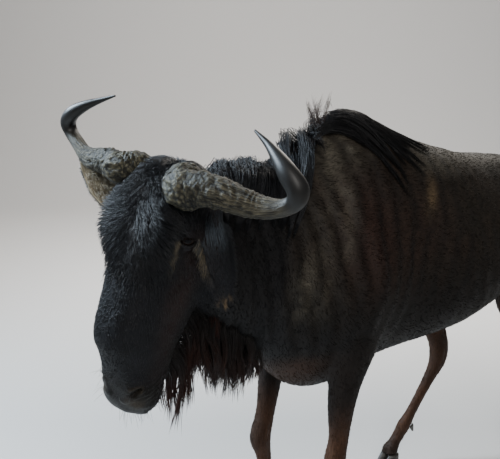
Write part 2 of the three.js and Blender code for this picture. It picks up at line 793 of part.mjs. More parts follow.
// The beard, from the back of the lower jaw
function beardLocks(grow = 0) {
  const locks = [];
  for (let i = 0; i < BEARD.locks; i++) {
    const z = BEARD.from + ((BEARD.to - BEARD.from) * Math.floor(i / 2)) / (BEARD.locks / 2 - 1);
    const t = sectionAt(z);
    const angle = degrees(-90 + (i % 2 ? 24 : -24) * (0.8 + 0.4 * chance(i + 60)));
    const root = headSkin(t, angle, 0);
    const leave = root.clone().sub(headSkin(t, angle + Math.PI, 0)).normalize();
    const length = BEARD.length * (0.7 + 0.45 * chance(i + 30));
    const sway = { x: 16 * (chance(i + 33) - 0.5), y: 10 + 16 * chance(i + 36) };
    locks.push(hangingLock(root, leave, 16, length, sway, chance(i + 39), BEARD.width, BEARD.thickness, grow));
  }
  return locks;
}

// Where along the head a height z of its own frame lies
function sectionAt(z) {
  let [low, high] = [0, 1];
  for (let i = 0; i < 30; i++) {
    const t = (low + high) / 2;
    if (rowsAt(SKULL, t)[0] > z) low = t;
    else high = t;
  }
  return (low + high) / 2;
}

// The forelock, from between the horns down the forehead
function forelockLocks(grow = 0) {
  return Array.from({ length: FORELOCK.locks }, (_, i) => {
    const spread = (i % 5) - 2;
    const start = 6 - 14 * Math.floor(i / 5);
    const length = FORELOCK.length * (0.75 + 0.5 * chance(i + 70));
    const lifts = [-12, 7, 11, 8, 4];
    const points = lifts.map((far, k) => {
      const s = k / 4;
      const t = sectionAt(start - length * s);
      const angle = degrees(90 - spread * (7 + 9 * s));
      const outward = new THREE.Vector3(0.1 * spread, -1, 0).transformDirection(headMatrix);
      return headSkin(t, angle, 0).addScaledVector(outward, far);
    });
    const face = new THREE.Vector3(0.1 * spread, -1, 0).transformDirection(headMatrix);
    return lock(points, () => face, FORELOCK.width, FORELOCK.thickness, grow);
  });
}

// The tuft, from the lower half of the tail
function tuftLocks(grow = 0) {
  return Array.from({ length: TUFT.locks }, (_, i) => {
    const share = i / (TUFT.locks - 1);
    const height = TUFT.from + (600 - TUFT.from) * share;
    const turn = i * 2.4;
    const leave = new THREE.Vector3(Math.cos(turn), Math.sin(turn), 0);
    const root = new THREE.Vector3(6 + 7 * share, 791 - 9 * share, height).addScaledVector(leave, 8 - 4 * share);
    const length = Math.min(TUFT.length * (0.8 + 0.4 * chance(i + 80)), height - TUFT.tip);
    const sway = { x: 18 * (chance(i + 83) - 0.5), y: 18 * (chance(i + 86) - 0.5) };
    return hangingLock(root, leave, 7, length, sway, chance(i + 89) * 2, TUFT.width, TUFT.thickness, grow);
  });
}

function tail(grow = 0) {
  const path = new THREE.CatmullRomCurve3(TAIL.map(([x, y, z]) => new THREE.Vector3(x, y, z)));
  const steps = 18;
  const rings = [];
  for (let i = 0; i <= steps; i++) {
    const [x, y, z, half, deep] = rowsAt(TAIL, i / steps);
    const down = path.getTangent(i / steps);
    const side = axisX.clone().addScaledVector(down, -axisX.dot(down)).normalize();
    const ahead = down.clone().cross(side);
    rings.push(
      Array.from({ length: 10 }, (_, j) => {
        const angle = (2 * Math.PI * j) / 10;
        return new THREE.Vector3(x, y, z)
          .addScaledVector(side, Math.cos(angle) * (half + grow))
          .addScaledVector(ahead, Math.sin(angle) * (deep + grow));
      }),
    );
  }
  return loft(rings);
}

// One claw of a hoof, with its flat inner side next to the other claw
function claw(foot, sign, heading) {
  const turn = new THREE.Matrix4().makeRotationZ(degrees(heading)).setPosition(foot.x, foot.y, 0);
  const steps = 4;
  const rings = [];
  for (let i = 0; i <= steps; i++) {
    const [z, middle, half, wide, fullness] = rowsAt(CLAW, i / steps);
    rings.push(
      Array.from({ length: CLAW_SIDES }, (_, j) => {
        const [c, s] = fullCurve((2 * Math.PI * (j + 0.5)) / CLAW_SIDES, fullness);
        const point = s > 0 ? 1 - 0.45 * s * s : 1 - 0.1 * s * s; // narrower at the toe
        const across = Math.max(c * wide * point * sign, -14) * sign;
        return new THREE.Vector3(sign * CLAW_SPREAD + across, -(middle + s * half), z).applyMatrix4(turn);
      }),
    );
  }
  return loft(rings);
}

// Dewclaw behind the fetlock
function dewclaw(foot, sign, heading, rear) {
  const cone = new THREE.CylinderGeometry(11, 4, 30, 8);
  cone.rotateX(Math.PI / 2 + 0.45);
  const turn = new THREE.Matrix4().makeRotationZ(degrees(heading));
  const offset = new THREE.Vector3(sign * 17, rear, 0).applyMatrix4(turn);
  return solidOf(cone, new THREE.Matrix4().setPosition(foot.x + offset.x, foot.y + offset.y, foot.z));
}

const headGrown = union([headLoft(GAP), orbit(1, GAP), orbit(-1, GAP)]);
const hornsGrown = union([horn(1, GAP), horn(-1, GAP)]);
const earsGrown = union(Object.values(EARS).map((place) => ear(place, GAP)));
const headHair = union([...beardLocks(), ...forelockLocks()]).subtract(hornsGrown).subtract(earsGrown);
const headHairGrown = union([...beardLocks(GAP), ...forelockLocks(GAP)]);
const headCuts = [eyeball(1, GAP), eyeball(-1, GAP), fissure(1), fissure(-1), nostril(1), nostril(-1), mouthSlot()];
const headBare = union([headLoft(), orbit(1), orbit(-1)]).subtract(union(headCuts));
const headSolid = largest(headBare.add(headHair));

// Trunk and legs
const bodySolid = trunk();
const bodyHair = union([...maneLocks(), ...withersLocks(), ...throatLocks()]);
const hairyBody = bodySolid.add(bodyHair);
const bodyGrown = trunk(GAP);
const neckLine = bothSides(new THREE.Vector3(0, -585, 1000), new THREE.Vector3(0, -1, 0.28));
const legRows = {
  foreleg_left: FORELEG_LEFT,
  foreleg_right: FORELEG_RIGHT,
  hindleg_left: HINDLEG_LEFT,
  hindleg_right: HINDLEG_RIGHT,
};
const legTops = [];
const legSolids = {};
for (const [name, rows] of Object.entries(legRows)) {
  const fore = name.startsWith("fore");
  const cut = bothSides(
    new THREE.Vector3(0, fore ? -450 : 400, fore ? 735 : 770),
    new THREE.Vector3(0, fore ? 0.1 : -0.25, 1),
  );
  const whole = leg(rows);
  legTops.push(whole.intersect(cut.ahead));
  legSolids[name] = largest(whole.intersect(cut.behind).subtract(bodyGrown));
}
const torsoSolid = largest(union([hairyBody.intersect(neckLine.behind), ...legTops]));
const neckSolid = largest(
  hairyBody.intersect(neckLine.ahead).subtract(union([headGrown, headHairGrown, hornsGrown, earsGrown])),
);
const tailSolid = largest(union([tail(), ...tuftLocks()]).subtract(bodyGrown));

const earSolids = Object.fromEntries(
  Object.entries(EARS).map(([side, place]) => [
    side,
    largest(ear(place).subtract(headGrown).subtract(hornsGrown).subtract(bodyGrown)),
  ]),
);

// Materials, by part of the body
const paint = (color, roughness) => new THREE.MeshStandardMaterial({ color, roughness, metalness: 0 });
const coat = paint(0x3a332c, 0.85);
const faceCoat = paint(0x17171a, 0.7);
const legCoat = paint(0x5b3a22, 0.8);
const hornKeratin = paint(0x6d6555, 0.75);
const hoofKeratin = paint(0x1e1b19, 0.6);
const eyeGloss = paint(0x120d0a, 0.15);
const tailHair = paint(0x121111, 0.75);

const group = new THREE.Group();
function place(name, solid, material) {
  const made = solid.getMesh();
  const geometry = new THREE.BufferGeometry()
    .setAttribute("position", new THREE.BufferAttribute(made.vertProperties, 3))
    .setIndex(new THREE.BufferAttribute(made.triVerts, 1));
  geometry.computeVertexNormals();
  const mesh = new THREE.Mesh(geometry, material);
  mesh.name = name;
  group.add(mesh);
}

place("head", headSolid, faceCoat);
place("neck", neckSolid, coat);
place("torso", torsoSolid, coat);
place("tail", tailSolid, tailHair);
for (const [side, sign] of [
  ["left", 1],
  ["right", -1],
]) {
  place(`horn_${side}`, largest(horn(sign).subtract(headGrown)), hornKeratin);
  place(`eye_${side}`, eyeball(sign), eyeGloss);
  place(`ear_${side}`, earSolids[side], coat);
}
for (const [name, rows] of Object.entries(legRows)) {
  place(name, legSolids[name], legCoat);
  const [x, y] = rows.at(-1);
  const heading = name.endsWith("left") ? 4 : -4;
  const foot = new THREE.Vector3(x, y, 0);
  const fetlock = new THREE.Vector3(rows.at(-5)[0], rows.at(-5)[1], rows.at(-5)[2] - 14);
  for (const [side, sign] of [
    ["outer", name.endsWith("left") ? 1 : -1],
    ["inner", name.endsWith("left") ? -1 : 1],
  ]) {
    place(`${name}_claw_${side}`, claw(foot, sign, heading), hoofKeratin);
    place(
      `${name}_dewclaw_${side}`,
      largest(dewclaw(fetlock, sign, heading, 29).subtract(leg(rows, GAP))),
      hoofKeratin,
    );
  }
}

// The origin is the middle of the model's footprint
const box = new THREE.Box3().setFromObject(group);
const middle = box.getCenter(new THREE.Vector3());
group.position.set(-middle.x, -middle.y, -box.min.z);

export default group;
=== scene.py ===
# Skin, coat, horns, hooves and eyes of a standing blue wildebeest bull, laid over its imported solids
import math
import bpy
import bmesh
import numpy as np
from mathutils import Matrix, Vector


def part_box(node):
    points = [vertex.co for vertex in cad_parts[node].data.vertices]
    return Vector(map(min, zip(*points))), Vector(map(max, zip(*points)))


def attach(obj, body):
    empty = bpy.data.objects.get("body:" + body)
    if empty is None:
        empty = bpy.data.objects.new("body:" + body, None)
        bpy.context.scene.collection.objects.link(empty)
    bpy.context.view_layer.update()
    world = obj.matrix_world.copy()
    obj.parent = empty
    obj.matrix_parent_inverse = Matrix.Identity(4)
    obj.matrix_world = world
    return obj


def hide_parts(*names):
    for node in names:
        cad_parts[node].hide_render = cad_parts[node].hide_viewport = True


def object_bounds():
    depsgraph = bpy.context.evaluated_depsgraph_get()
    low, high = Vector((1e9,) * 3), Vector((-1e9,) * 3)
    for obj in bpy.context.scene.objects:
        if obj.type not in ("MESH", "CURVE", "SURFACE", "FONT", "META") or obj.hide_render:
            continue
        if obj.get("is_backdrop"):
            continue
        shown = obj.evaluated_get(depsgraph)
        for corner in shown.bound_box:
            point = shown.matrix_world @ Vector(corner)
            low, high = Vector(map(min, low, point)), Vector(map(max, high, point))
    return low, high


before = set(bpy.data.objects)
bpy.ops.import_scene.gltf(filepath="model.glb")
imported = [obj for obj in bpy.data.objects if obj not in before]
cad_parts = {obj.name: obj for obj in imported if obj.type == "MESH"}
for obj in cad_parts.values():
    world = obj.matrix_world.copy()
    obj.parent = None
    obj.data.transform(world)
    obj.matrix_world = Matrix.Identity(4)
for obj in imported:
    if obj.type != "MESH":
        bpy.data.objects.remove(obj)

cadBox = [list(map(float, corner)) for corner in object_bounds()]
rng = np.random.default_rng(20)

# Helpers on whole arrays


# 0 below low and 1 above high, 3s^2 - 2s^3 between
def ease(low, high, x):
    s = np.clip((x - low) / (high - low), 0, 1)
    return s * s * (3 - 2 * s)


# 0 up to a, 1 from b to c and 0 again from d, eased between
def span(x, a, b, c, d):
    return ease(a, b, x) * ease(d, c, x)


# e^(-x^2 / 2)
def bell(x):
    return np.exp(-0.5 * np.square(x))


# A vector divided by its length
def unit(v):
    return v / np.maximum(np.linalg.norm(v, axis=-1, keepdims=True), 1e-9)


# Sum of the products of two vectors' parts
def dot(a, b):
    return (a * b).sum(-1, keepdims=True)


# Angles of a full turn, the last one short of the first
def around(count):
    return np.linspace(0, 2 * np.pi, count, endpoint=False)


# Rows read as a smooth cubic over t from 0 to 1, each stretch with the slopes of its neighbours
def rowsAt(rows, t):
    rows = np.asarray(rows, float)
    s = np.clip(t, 0, 1) * (len(rows) - 1)
    i = np.minimum(s.astype(int), len(rows) - 2)
    u = (s - i)[..., None]
    before, start, end, after = (rows[np.clip(i + k, 0, len(rows) - 1)] for k in (-1, 0, 1, 2))
    slopeA, slopeB = (end - before) / 2, (after - start) / 2
    return (
        (2 * u**3 - 3 * u**2 + 1) * start
        + (u**3 - 2 * u**2 + u) * slopeA
        + (3 * u**2 - 2 * u**3) * end
        + (u**3 - u**2) * slopeB
    )


# The t at which one column of rows has a value, from a table of 600 steps
def stationOf(rows, value, column=0):
    t = np.linspace(0, 1, 600)
    found = rowsAt(rows, t)[:, column]
    order = np.argsort(found)
    return np.interp(value, found[order], t[order])


# Superellipse of unit size: sign(cos) |cos|^(2/n), sign(sin) |sin|^(2/n)
def fullCurve(angle, fullness):
    c, s = np.cos(angle), np.sin(angle)
    power = 2 / fullness
    return np.sign(c) * np.abs(c) ** power, np.sign(s) * np.abs(s) ** power


# Value noise from -1 to 1: random numbers at the corners of cubes of one size, blended with 3f^2 - 2f^3
def noise(points, size, seed=0):
    p = points / size + 31.7 * seed
    cell = np.floor(p).astype(np.int64)
    f = p - cell
    f = f * f * (3 - 2 * f)
    total = 0
    for corner in range(8):
        step = np.array([corner & 1, corner >> 1 & 1, corner >> 2 & 1])
        c = cell + step
        h = (c[..., 0] * 73856093) ^ (c[..., 1] * 19349663) ^ (c[..., 2] * 83492791)
        h = ((h ^ (h >> 13)) * 1274126177) & 0xFFFFFFFF
        value = ((h ^ (h >> 16)) & 0xFFFF) / 32767.5 - 1
        total = total + value * np.prod(np.where(step, f, 1 - f), axis=-1)
    return total


# The animal's own frame: millimetres, x to its left, y to its rear, z up

head = {
    "place": np.array([151.0, -1048, 1291]),
    "yaw": 8.4,
    "pitch": -9.2,
    "roll": 7.9,
    # z, front, back, half width, fullness
    "rows": [
        [34, 32, -20, 34, 2.0], [20, 68, -62, 68, 2.2], [-10, 90, -102, 92, 2.6], [-50, 101, -130, 101, 2.9],
        [-100, 106, -146, 104, 3.1], [-150, 108, -152, 100, 3.0], [-200, 110, -150, 91, 3.0],
        [-250, 118, -132, 83, 3.0], [-300, 125, -112, 76, 3.0], [-340, 129, -97, 72, 3.0],
        [-372, 124, -86, 70, 2.9], [-400, 103, -78, 69, 2.8], [-425, 83, -70, 69, 2.8],
        [-455, 69, -63, 70, 2.8], [-485, 62, -60, 70, 2.8], [-510, 55, -57, 67, 2.9],
        [-524, 47, -51, 60, 2.8], [-533, 33, -41, 48, 2.5], [-537, 11, -23, 23, 2.1],
    ],
    "jawNarrowing": 0.28,
    # side, front, z, radius, how far out
    "relief": [
        [92, 76, -92, 40, 8], [94, 86, -134, 66, 20], [104, 36, -116, 34, -9], [62, 80, -52, 40, 6],
        [66, 20, -200, 46, -9], [84, -70, -170, 60, 7], [56, 42, -462, 34, 6],
    ],
    "reliefWidth": 0.6,  # width of a swelling's bell, as a share of its radius
}
headTurn = np.array(
    Matrix.Rotation(math.radians(head["yaw"]), 3, "Z")
    @ Matrix.Rotation(math.radians(head["pitch"]), 3, "X")
    @ Matrix.Rotation(math.radians(head["roll"]), 3, "Y")
)


# Side, front and z of the head's frame to the animal's frame: front turned round, then turned and moved
def fromHead(local):
    return wayFromHead(local) + head["place"]


# The same turn for a direction
def wayFromHead(way):
    return (np.asarray(way, float) * [1, -1, 1]) @ headTurn.T


# The animal's frame back to side, front and z of the head
def toHead(points):
    return ((points - head["place"]) @ headTurn) * [1, -1, 1]


eye = {"centre": [86, 31, -112], "look": [0.9, 0.42, -0.08], "radius": 23}
eyeCorners = np.array([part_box("eye_left")[0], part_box("eye_left")[1]], float)
shift = eyeCorners.mean(0) - fromHead(eye["centre"]) * 0.001


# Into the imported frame: metres, moved by the shift
def placed(points):
    return points * 0.001 + shift


trunk = {
    # y, sideways shift, top, bottom, half width, widest z, fullness above, fullness below
    "rows": [
        [738, 0, 1110, 1010, 34, 1060, 2.0, 2.0], [718, 0, 1150, 940, 84, 1045, 2.0, 2.0],
        [675, 0, 1182, 890, 136, 1030, 2.0, 2.0], [600, 0, 1206, 838, 184, 1015, 2.0, 2.0],
        [490, 0, 1226, 785, 224, 1000, 2.0, 2.0], [345, 0, 1240, 742, 242, 985, 2.1, 2.1],
        [190, 0, 1256, 700, 268, 965, 2.1, 2.2], [40, 0, 1290, 672, 276, 955, 2.0, 2.2],
        [-110, 0, 1328, 664, 266, 955, 1.9, 2.1], [-240, 0, 1366, 654, 245, 960, 1.8, 2.0],
        [-350, 0, 1386, 636, 230, 965, 1.75, 1.9], [-450, 3, 1360, 614, 222, 960, 1.75, 1.9],
        [-530, 8, 1322, 618, 205, 955, 1.8, 1.9], [-600, 16, 1292, 650, 182, 965, 1.85, 1.9],
        [-670, 28, 1268, 712, 156, 985, 1.9, 1.9], [-740, 44, 1250, 780, 132, 1010, 1.9, 1.95],
        [-820, 68, 1242, 850, 114, 1045, 1.9, 2.0], [-900, 96, 1244, 900, 104, 1075, 2.0, 2.0],
        [-960, 118, 1246, 940, 96, 1095, 2.0, 2.0], [-1000, 132, 1215, 985, 70, 1100, 2.0, 2.0],
    ],
    # y, z, length, height, how far out
    "relief": [
        [-430, 1010, 95, 210, 20], [-520, 850, 70, 110, 16], [-330, 1230, 80, 90, 8],
        [-235, 930, 60, 190, -14], [450, 960, 130, 160, 20], [300, 1060, 80, 110, -16],
        [385, 1165, 45, 45, 12], [-660, 1030, 90, 130, -8], [60, 860, 220, 130, 8],
    ],
}
coronetHeight = 62
# x, y, z, half width, fore depth, rear depth
legs = {
    "foreleg_left": [
        [150, -452, 960, 48, 95, 85], [166, -452, 860, 50, 92, 84], [166, -456, 780, 50, 92, 72],
        [158, -466, 720, 47, 78, 56], [150, -478, 660, 42, 64, 46], [145, -488, 590, 36, 51, 40],
        [140, -493, 500, 29, 35, 35], [138, -500, 445, 31, 37, 32], [136, -500, 405, 31, 37, 33],
        [134, -494, 365, 25, 28, 30], [133, -488, 290, 20, 22, 26], [133, -486, 215, 21, 23, 28],
        [133, -488, 172, 26, 29, 33], [134, -498, 140, 24, 26, 30], [136, -512, 108, 24, 26, 27],
        [138, -524, 82, 31, 33, 32], [139, -528, coronetHeight, 35, 37, 36],
    ],
    "foreleg_right": [
        [-145, -458, 960, 48, 95, 85], [-158, -460, 860, 50, 92, 84], [-158, -462, 780, 46, 74, 74],
        [-148, -474, 720, 42, 56, 60], [-140, -488, 660, 38, 48, 50], [-134, -506, 590, 35, 42, 42],
        [-130, -526, 500, 29, 35, 34], [-129, -540, 445, 31, 38, 32], [-129, -545, 405, 31, 40, 32],
        [-130, -538, 365, 25, 30, 30], [-132, -525, 290, 20, 22, 26], [-134, -515, 215, 21, 23, 28],
        [-135, -512, 172, 26, 29, 33], [-137, -520, 140, 24, 26, 30], [-139, -534, 108, 24, 26, 27],
        [-141, -546, 82, 31, 33, 32], [-142, -550, coronetHeight, 35, 37, 36],
    ],
    "hindleg_left": [
        [130, 470, 1010, 60, 150, 170], [150, 455, 920, 66, 168, 178], [156, 440, 840, 62, 160, 160],
        [152, 448, 765, 55, 150, 118], [146, 480, 690, 48, 108, 84], [140, 525, 620, 41, 70, 62],
        [136, 572, 550, 31, 42, 46], [134, 610, 492, 30, 37, 50], [134, 626, 440, 29, 36, 42],
        [134, 625, 380, 24, 29, 31], [135, 616, 290, 21, 24, 27], [136, 608, 215, 22, 24, 29],
        [137, 602, 172, 26, 29, 34], [138, 594, 140, 24, 26, 30], [140, 582, 108, 24, 26, 27],
        [142, 572, 82, 31, 33, 32], [143, 568, coronetHeight, 35, 37, 36],
    ],
    "hindleg_right": [
        [-125, 430, 1010, 60, 160, 160], [-146, 390, 920, 66, 172, 170], [-152, 345, 840, 62, 168, 160],
        [-148, 318, 765, 55, 168, 122], [-140, 312, 690, 48, 128, 90], [-132, 324, 620, 41, 80, 66],
        [-127, 348, 545, 33, 50, 52], [-126, 368, 480, 31, 42, 52], [-130, 370, 428, 30, 38, 44],
        [-140, 345, 372, 24, 29, 31], [-160, 308, 290, 21, 24, 27], [-180, 276, 215, 22, 24, 29],
        [-192, 258, 172, 26, 29, 34], [-200, 244, 140, 24, 26, 30], [-208, 228, 108, 24, 26, 27],
        [-214, 215, 82, 31, 33, 32], [-216, 210, coronetHeight, 35, 37, 36],
    ],
}
# x, y, z, half width, half depth
tail = [
    [0, 690, 1120, 30, 30], [0, 735, 1100, 28, 26], [2, 772, 1050, 23, 21], [4, 788, 970, 19, 18],
    [6, 792, 880, 16, 15], [8, 790, 790, 14, 13], [10, 786, 700, 12, 11], [12, 782, 620, 9, 9],
    [13, 780, 570, 5, 5],
]
legFullness = 2.15


# Trunk: shift + cx (half + out), y, widest + cz (top or bottom - widest), where out sums bells of the relief
def trunkPoint(t, angle, grow=0.0):
    y, aside, top, bottom, half, widest, fullUp, fullDown = np.moveaxis(rowsAt(trunk["rows"], t), -1, 0)
    upper = np.sin(angle) >= 0
    cx, cz = fullCurve(angle, np.where(upper, fullUp, fullDown))
    z = widest + cz * np.where(upper, top - widest, widest - bottom)
    out = grow
    for ry, rz, length, height, far in trunk["relief"]:
        out = out + far * bell((y - ry) / length) * bell((z - rz) / height) * np.abs(cx)
    return np.stack(np.broadcast_arrays(aside + cx * (half + out), y, z + cz * grow), -1)


# Cross product of the trunk's small steps round it and along it
def trunkNormal(t, angle):
    step = 0.004
    along = trunkPoint(t + step, angle) - trunkPoint(t - step, angle)
    about = trunkPoint(t, angle + step) - trunkPoint(t, angle - step)
    return unit(np.cross(about, along))


# Tube round a path: centre + side cos a (half + grow) + ahead sin a (fore or rear + grow), square to the path
def legGrid(rows, count, sides, grow, flatEnd=True):
    found = rowsAt(rows, np.linspace(0, 1, count))
    centre, half = found[:, :3], found[:, 3:4]
    fore, rear = found[:, 4:5], found[:, -1:]
    down = unit(np.gradient(centre, axis=0))
    if flatEnd:
        down[-1] = (0, 0, -1)
    side = unit(np.array([1.0, 0, 0]) - down * down[:, :1])
    ahead = np.cross(down, side)
    c, s = fullCurve(around(sides), legFullness)
    reach = np.where(s > 0, fore, rear) + grow
    return (
        centre[:, None]
        + side[:, None] * (c * (half + grow))[..., None]
        + ahead[:, None] * (s * reach)[..., None]
    )


# Head: level superellipses, narrower at the jaw, with round swellings of far e^(-(d / 0.6 r)^2 / 2)
def headSkin(t, angle, grow=0.0):
    z, front, back, half, fullness = np.moveaxis(rowsAt(head["rows"], t), -1, 0)
    c, s = fullCurve(angle, fullness)
    narrow = 1 - head["jawNarrowing"] * ease(-0.4, 1, -s)
    side = c * (half * narrow + grow)
    ahead = (front + back) / 2 + s * ((front - back) / 2 + grow)
    local = np.stack(np.broadcast_arrays(side, ahead, z), -1)
    for *centre, radius, far in head["relief"]:
        mirrored = np.stack([np.abs(local[..., 0]), local[..., 1], local[..., 2]], -1)
        out = far * bell(np.linalg.norm(mirrored - centre, axis=-1) / (radius * head["reliefWidth"]))
        local = local + np.stack([c * out, s * out, 0 * out], -1)
    return fromHead(local)


# Faces of a grid that closes on itself round its second side: quads, and fans to a hub at each end
def closedGrid(grid):
    rows, columns = grid.shape[:2]
    a = np.arange(rows * columns).reshape(rows, columns)
    b = np.roll(a, -1, axis=1)
    quads = np.stack([a[:-1], b[:-1], b[1:], a[1:]], -1).reshape(-1, 4)
    hubs = rows * columns + np.arange(2)
    low = np.stack([np.full(columns, hubs[0]), b[0], a[0]], -1)
    high = np.stack([np.full(columns, hubs[1]), a[-1], b[-1]], -1)
    points = np.concatenate([grid.reshape(-1, 3), grid[[0, -1]].mean(1)])
    return facingOut(points, quads, np.concatenate([low, high]))


# Turns the faces the right way out when their signed volume is below zero
def facingOut(points, quads, tris):
    split = np.concatenate([quads[:, [0, 1, 2]], quads[:, [0, 2, 3]], tris])
    corner = points[split] - points.mean(0)
    volume = (corner[:, 0] * np.cross(corner[:, 1], corner[:, 2])).sum()
    return (points, quads, tris) if volume > 0 else (points, quads[:, ::-1], tris[:, ::-1])


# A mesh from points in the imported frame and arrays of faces
def meshOf(name, points, *faceSets):
    mesh = bpy.data.meshes.new(name)
    corners = np.concatenate([f.ravel() for f in faceSets]).astype(np.int32)
    sizes = np.concatenate([np.full(len(f), f.shape[1]) for f in faceSets])
    starts = (np.cumsum(sizes) - sizes).astype(np.int32)
    mesh.vertices.add(len(points))
    mesh.vertices.foreach_set("co", np.asarray(points, np.float32).ravel())
    mesh.loops.add(len(corners))
    mesh.loops.foreach_set("vertex_index", corners)
    mesh.polygons.add(len(sizes))
    mesh.polygons.foreach_set("loop_start", starts)
    mesh.update(calc_edges=True)
    mesh.polygons.foreach_set("use_smooth", np.ones(len(sizes), bool))
    return mesh


# The coat's colour at each point
def tint(mesh, colours):
    layer = mesh.color_attributes.new("coatColour", "FLOAT_COLOR", "POINT")
    opaque = np.column_stack([colours, np.ones(len(colours))])
    layer.data.foreach_set("color", opaque.astype(np.float32).ravel())


# One number at each point, or with kind FLOAT_VECTOR three
def measure(mesh, values, name, kind="FLOAT"):
    layer = mesh.attributes.new(name, kind, "POINT")
    field = "vector" if kind == "FLOAT_VECTOR" else "value"
    layer.data.foreach_set(field, np.asarray(values, np.float32).ravel())


# Values of a grid's points, and for each hub the value of its end's first point
def withHubs(values):
    return np.concatenate([values, values[[0, -1]]])


# An object of the scene that holds the data
def linked(name, data):
    made = bpy.data.objects.new(name, data)
    bpy.context.collection.objects.link(made)
    return made


# A piece of the model: its mesh with a material, on the body, in place of the named nodes; the slot given is
# not used
def objectOf(name, mesh, material, slot, *nodes):
    piece = linked(name, mesh)
    mesh.materials.append(material)
    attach(piece, "root")
    if nodes:
        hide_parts(*nodes)


# Where a point of the skin belongs

regions = ["trunk", "head", "tail", *legs]


# For each region: how far outside it, its place along it from 0 to 1 and its angle round it
def placesOn(points):
    x, y, z = points.T
    found = {}
    t = stationOf(trunk["rows"], y)
    row = rowsAt(trunk["rows"], t).T
    dx = (x - row[1]) / row[4]
    dz = (z - row[5]) / np.where(z > row[5], row[2] - row[5], row[5] - row[3])
    beyond = np.maximum(y - trunk["rows"][0][0], 0) + np.maximum(trunk["rows"][-1][0] - y, 0)
    found["trunk"] = ((np.hypot(dx, dz) - 1) * row[4] + beyond, t, np.arctan2(dz, dx))
    side, front, high = toHead(points).T
    t = stationOf(head["rows"], high)
    row = rowsAt(head["rows"], t).T
    df = (front - (row[1] + row[2]) / 2) / ((row[1] - row[2]) / 2)
    dl = side / row[3]
    size = (np.abs(dl) ** 2.6 + np.abs(df) ** 2.6) ** (1 / 2.6)  # 2.6 is a middling fullness of the rows
    beyond = np.maximum(high - head["rows"][0][0], 0) + np.maximum(head["rows"][-1][0] - high, 0)
    found["head"] = ((size - 1) * row[3] + beyond, t, np.arctan2(df, dl))
    for name, rows in [("tail", tail), *legs.items()]:
        t = stationOf(rows, z, 2)
        row = rowsAt(rows, t).T
        aside, ahead = (x - row[0]) / row[3], row[1] - y
        ahead = ahead / np.where(ahead > 0, row[4], row[-1])
        beyond = np.maximum(z - rows[0][2], 0) + np.maximum(rows[-1][2] - z, 0)
        if name == "tail":
            beyond = beyond + np.maximum(745 - y, 0)  # the root of the tail, behind the buttocks
        found[name] = ((np.hypot(aside, ahead) - 1) * row[3] + beyond, t, np.arctan2(ahead, aside))
    return found


# Share of each region at a point: e^(-distance / 18 mm), made to sum to one, legs weaker high up in the trunk
def sharesOf(points, places):
    weights = []
    for name in regions:
        far = places[name][0]
        if name in legs:
            far = far + 60 * ease(700, 860, points[:, 2])
        weights.append(np.exp(-np.clip(far, -20, 400) / 18))
    weights = np.stack(weights, -1)
    return dict(zip(regions, (weights / weights.sum(-1, keepdims=True)).T))


# The share of all four legs together
def onLegs(shares):
    return sum(shares[name] for name in legs)


whorl = {"side": 4, "high": -72}


# The way the hair lies: back and down on the body, down the legs and the tail, down and outward on the face,
# where it opens like a fan under the whorl on the forehead
def lieOf(points, normals, shares):
    y = points[:, 1]
    side, front, high = toHead(points).T
    still = np.zeros(len(points))
    neck = ease(-480, -720, y)
    wave = 0.35 * noise(points, 70, 3) + 0.2 * noise(points, 28, 4)
    body = np.stack([still, 1 - 0.75 * neck, -0.35 - 0.65 * neck + wave], -1)
    brow, cheek = ease(-190, -60, high), ease(50, -20, front)
    swirl = 0.8 * noise(points, 30, 9) + 0.4 * noise(points, 13, 10)
    outward = np.sign(side) * (0.2 + 0.55 * brow) + 0.3 * swirl
    down = np.stack([outward, -0.5 * cheek - 0.15, -1 + 0.35 * brow], -1)
    past = np.abs(high - whorl["high"])
    away = unit(np.stack([side - whorl["side"] + 26 * swirl, still, -9 - 0.8 * past + 12 * swirl], -1))
    forehead = (ease(-250, -130, high) * ease(-60, 10, front))[:, None]
    face = wayFromHead(down * (1 - forehead) + away * forehead)
    limb = np.array([0, 0.12, -1])
    total = body * shares["trunk"][:, None] + face * shares["head"][:, None]
    total = total + limb * (shares["tail"] + onLegs(shares))[:, None]
    return unit(total - normals * dot(total, normals))


# An unwrap of the skin's own shape: each region is a strip of the unit square, its length by its angle
def unwrapOf(places, shares):
    strips = {
        # u, v, width, height
        "trunk": (0.01, 0.01, 0.56, 0.98),
        "head": (0.58, 0.01, 0.22, 0.98),
        "tail": (0.81, 0.81, 0.18, 0.18),
    }
    for i, name in enumerate(legs):
        strips[name] = (0.81, 0.01 + 0.2 * i, 0.18, 0.18)
    nearest = np.argmax(np.stack([shares[name] for name in regions], -1), axis=-1)
    uv = np.zeros((len(nearest), 2))
    for i, name in enumerate(regions):
        mine = nearest == i
        u, v, wide, high = strips[name]
        uv[mine, 0] = u + wide * places[name][1][mine]
        uv[mine, 1] = v + high * (places[name][2][mine] / (2 * np.pi) + 0.5)
    return uv


# The unwrap at places off the skin, by the region that they belong to
def unwrapAt(points):
    found = placesOn(points)
    return unwrapOf(found, sharesOf(points, found))


# Markings, the same for skin and hair

coat = {
    "black": (0.0060, 0.0064, 0.0080),
    "slate": (0.0135, 0.0118, 0.0092),
    "pale": (0.060, 0.053, 0.040),
    "brown": (0.0165, 0.0100, 0.0065),
    "stripe": (0.0055, 0.0050, 0.0048),
    "leg": (0.056, 0.025, 0.0125),
    "shin": (0.026, 0.0135, 0.0082),
    "tan": (0.17, 0.115, 0.060),
    "cheek": (0.024, 0.0085, 0.006),
    "muzzle": (0.0062, 0.0056, 0.0048),
    "nose": (0.036, 0.029, 0.020),
    "cream": (0.27, 0.22, 0.14),
    "straw": (0.17, 0.135, 0.080),
}
stripeSpacing = 64


# Base + (colour - base) share
def blend(base, colour, share):
    return base + (np.asarray(colour) - base) * np.clip(share, 0, 1)[:, None]


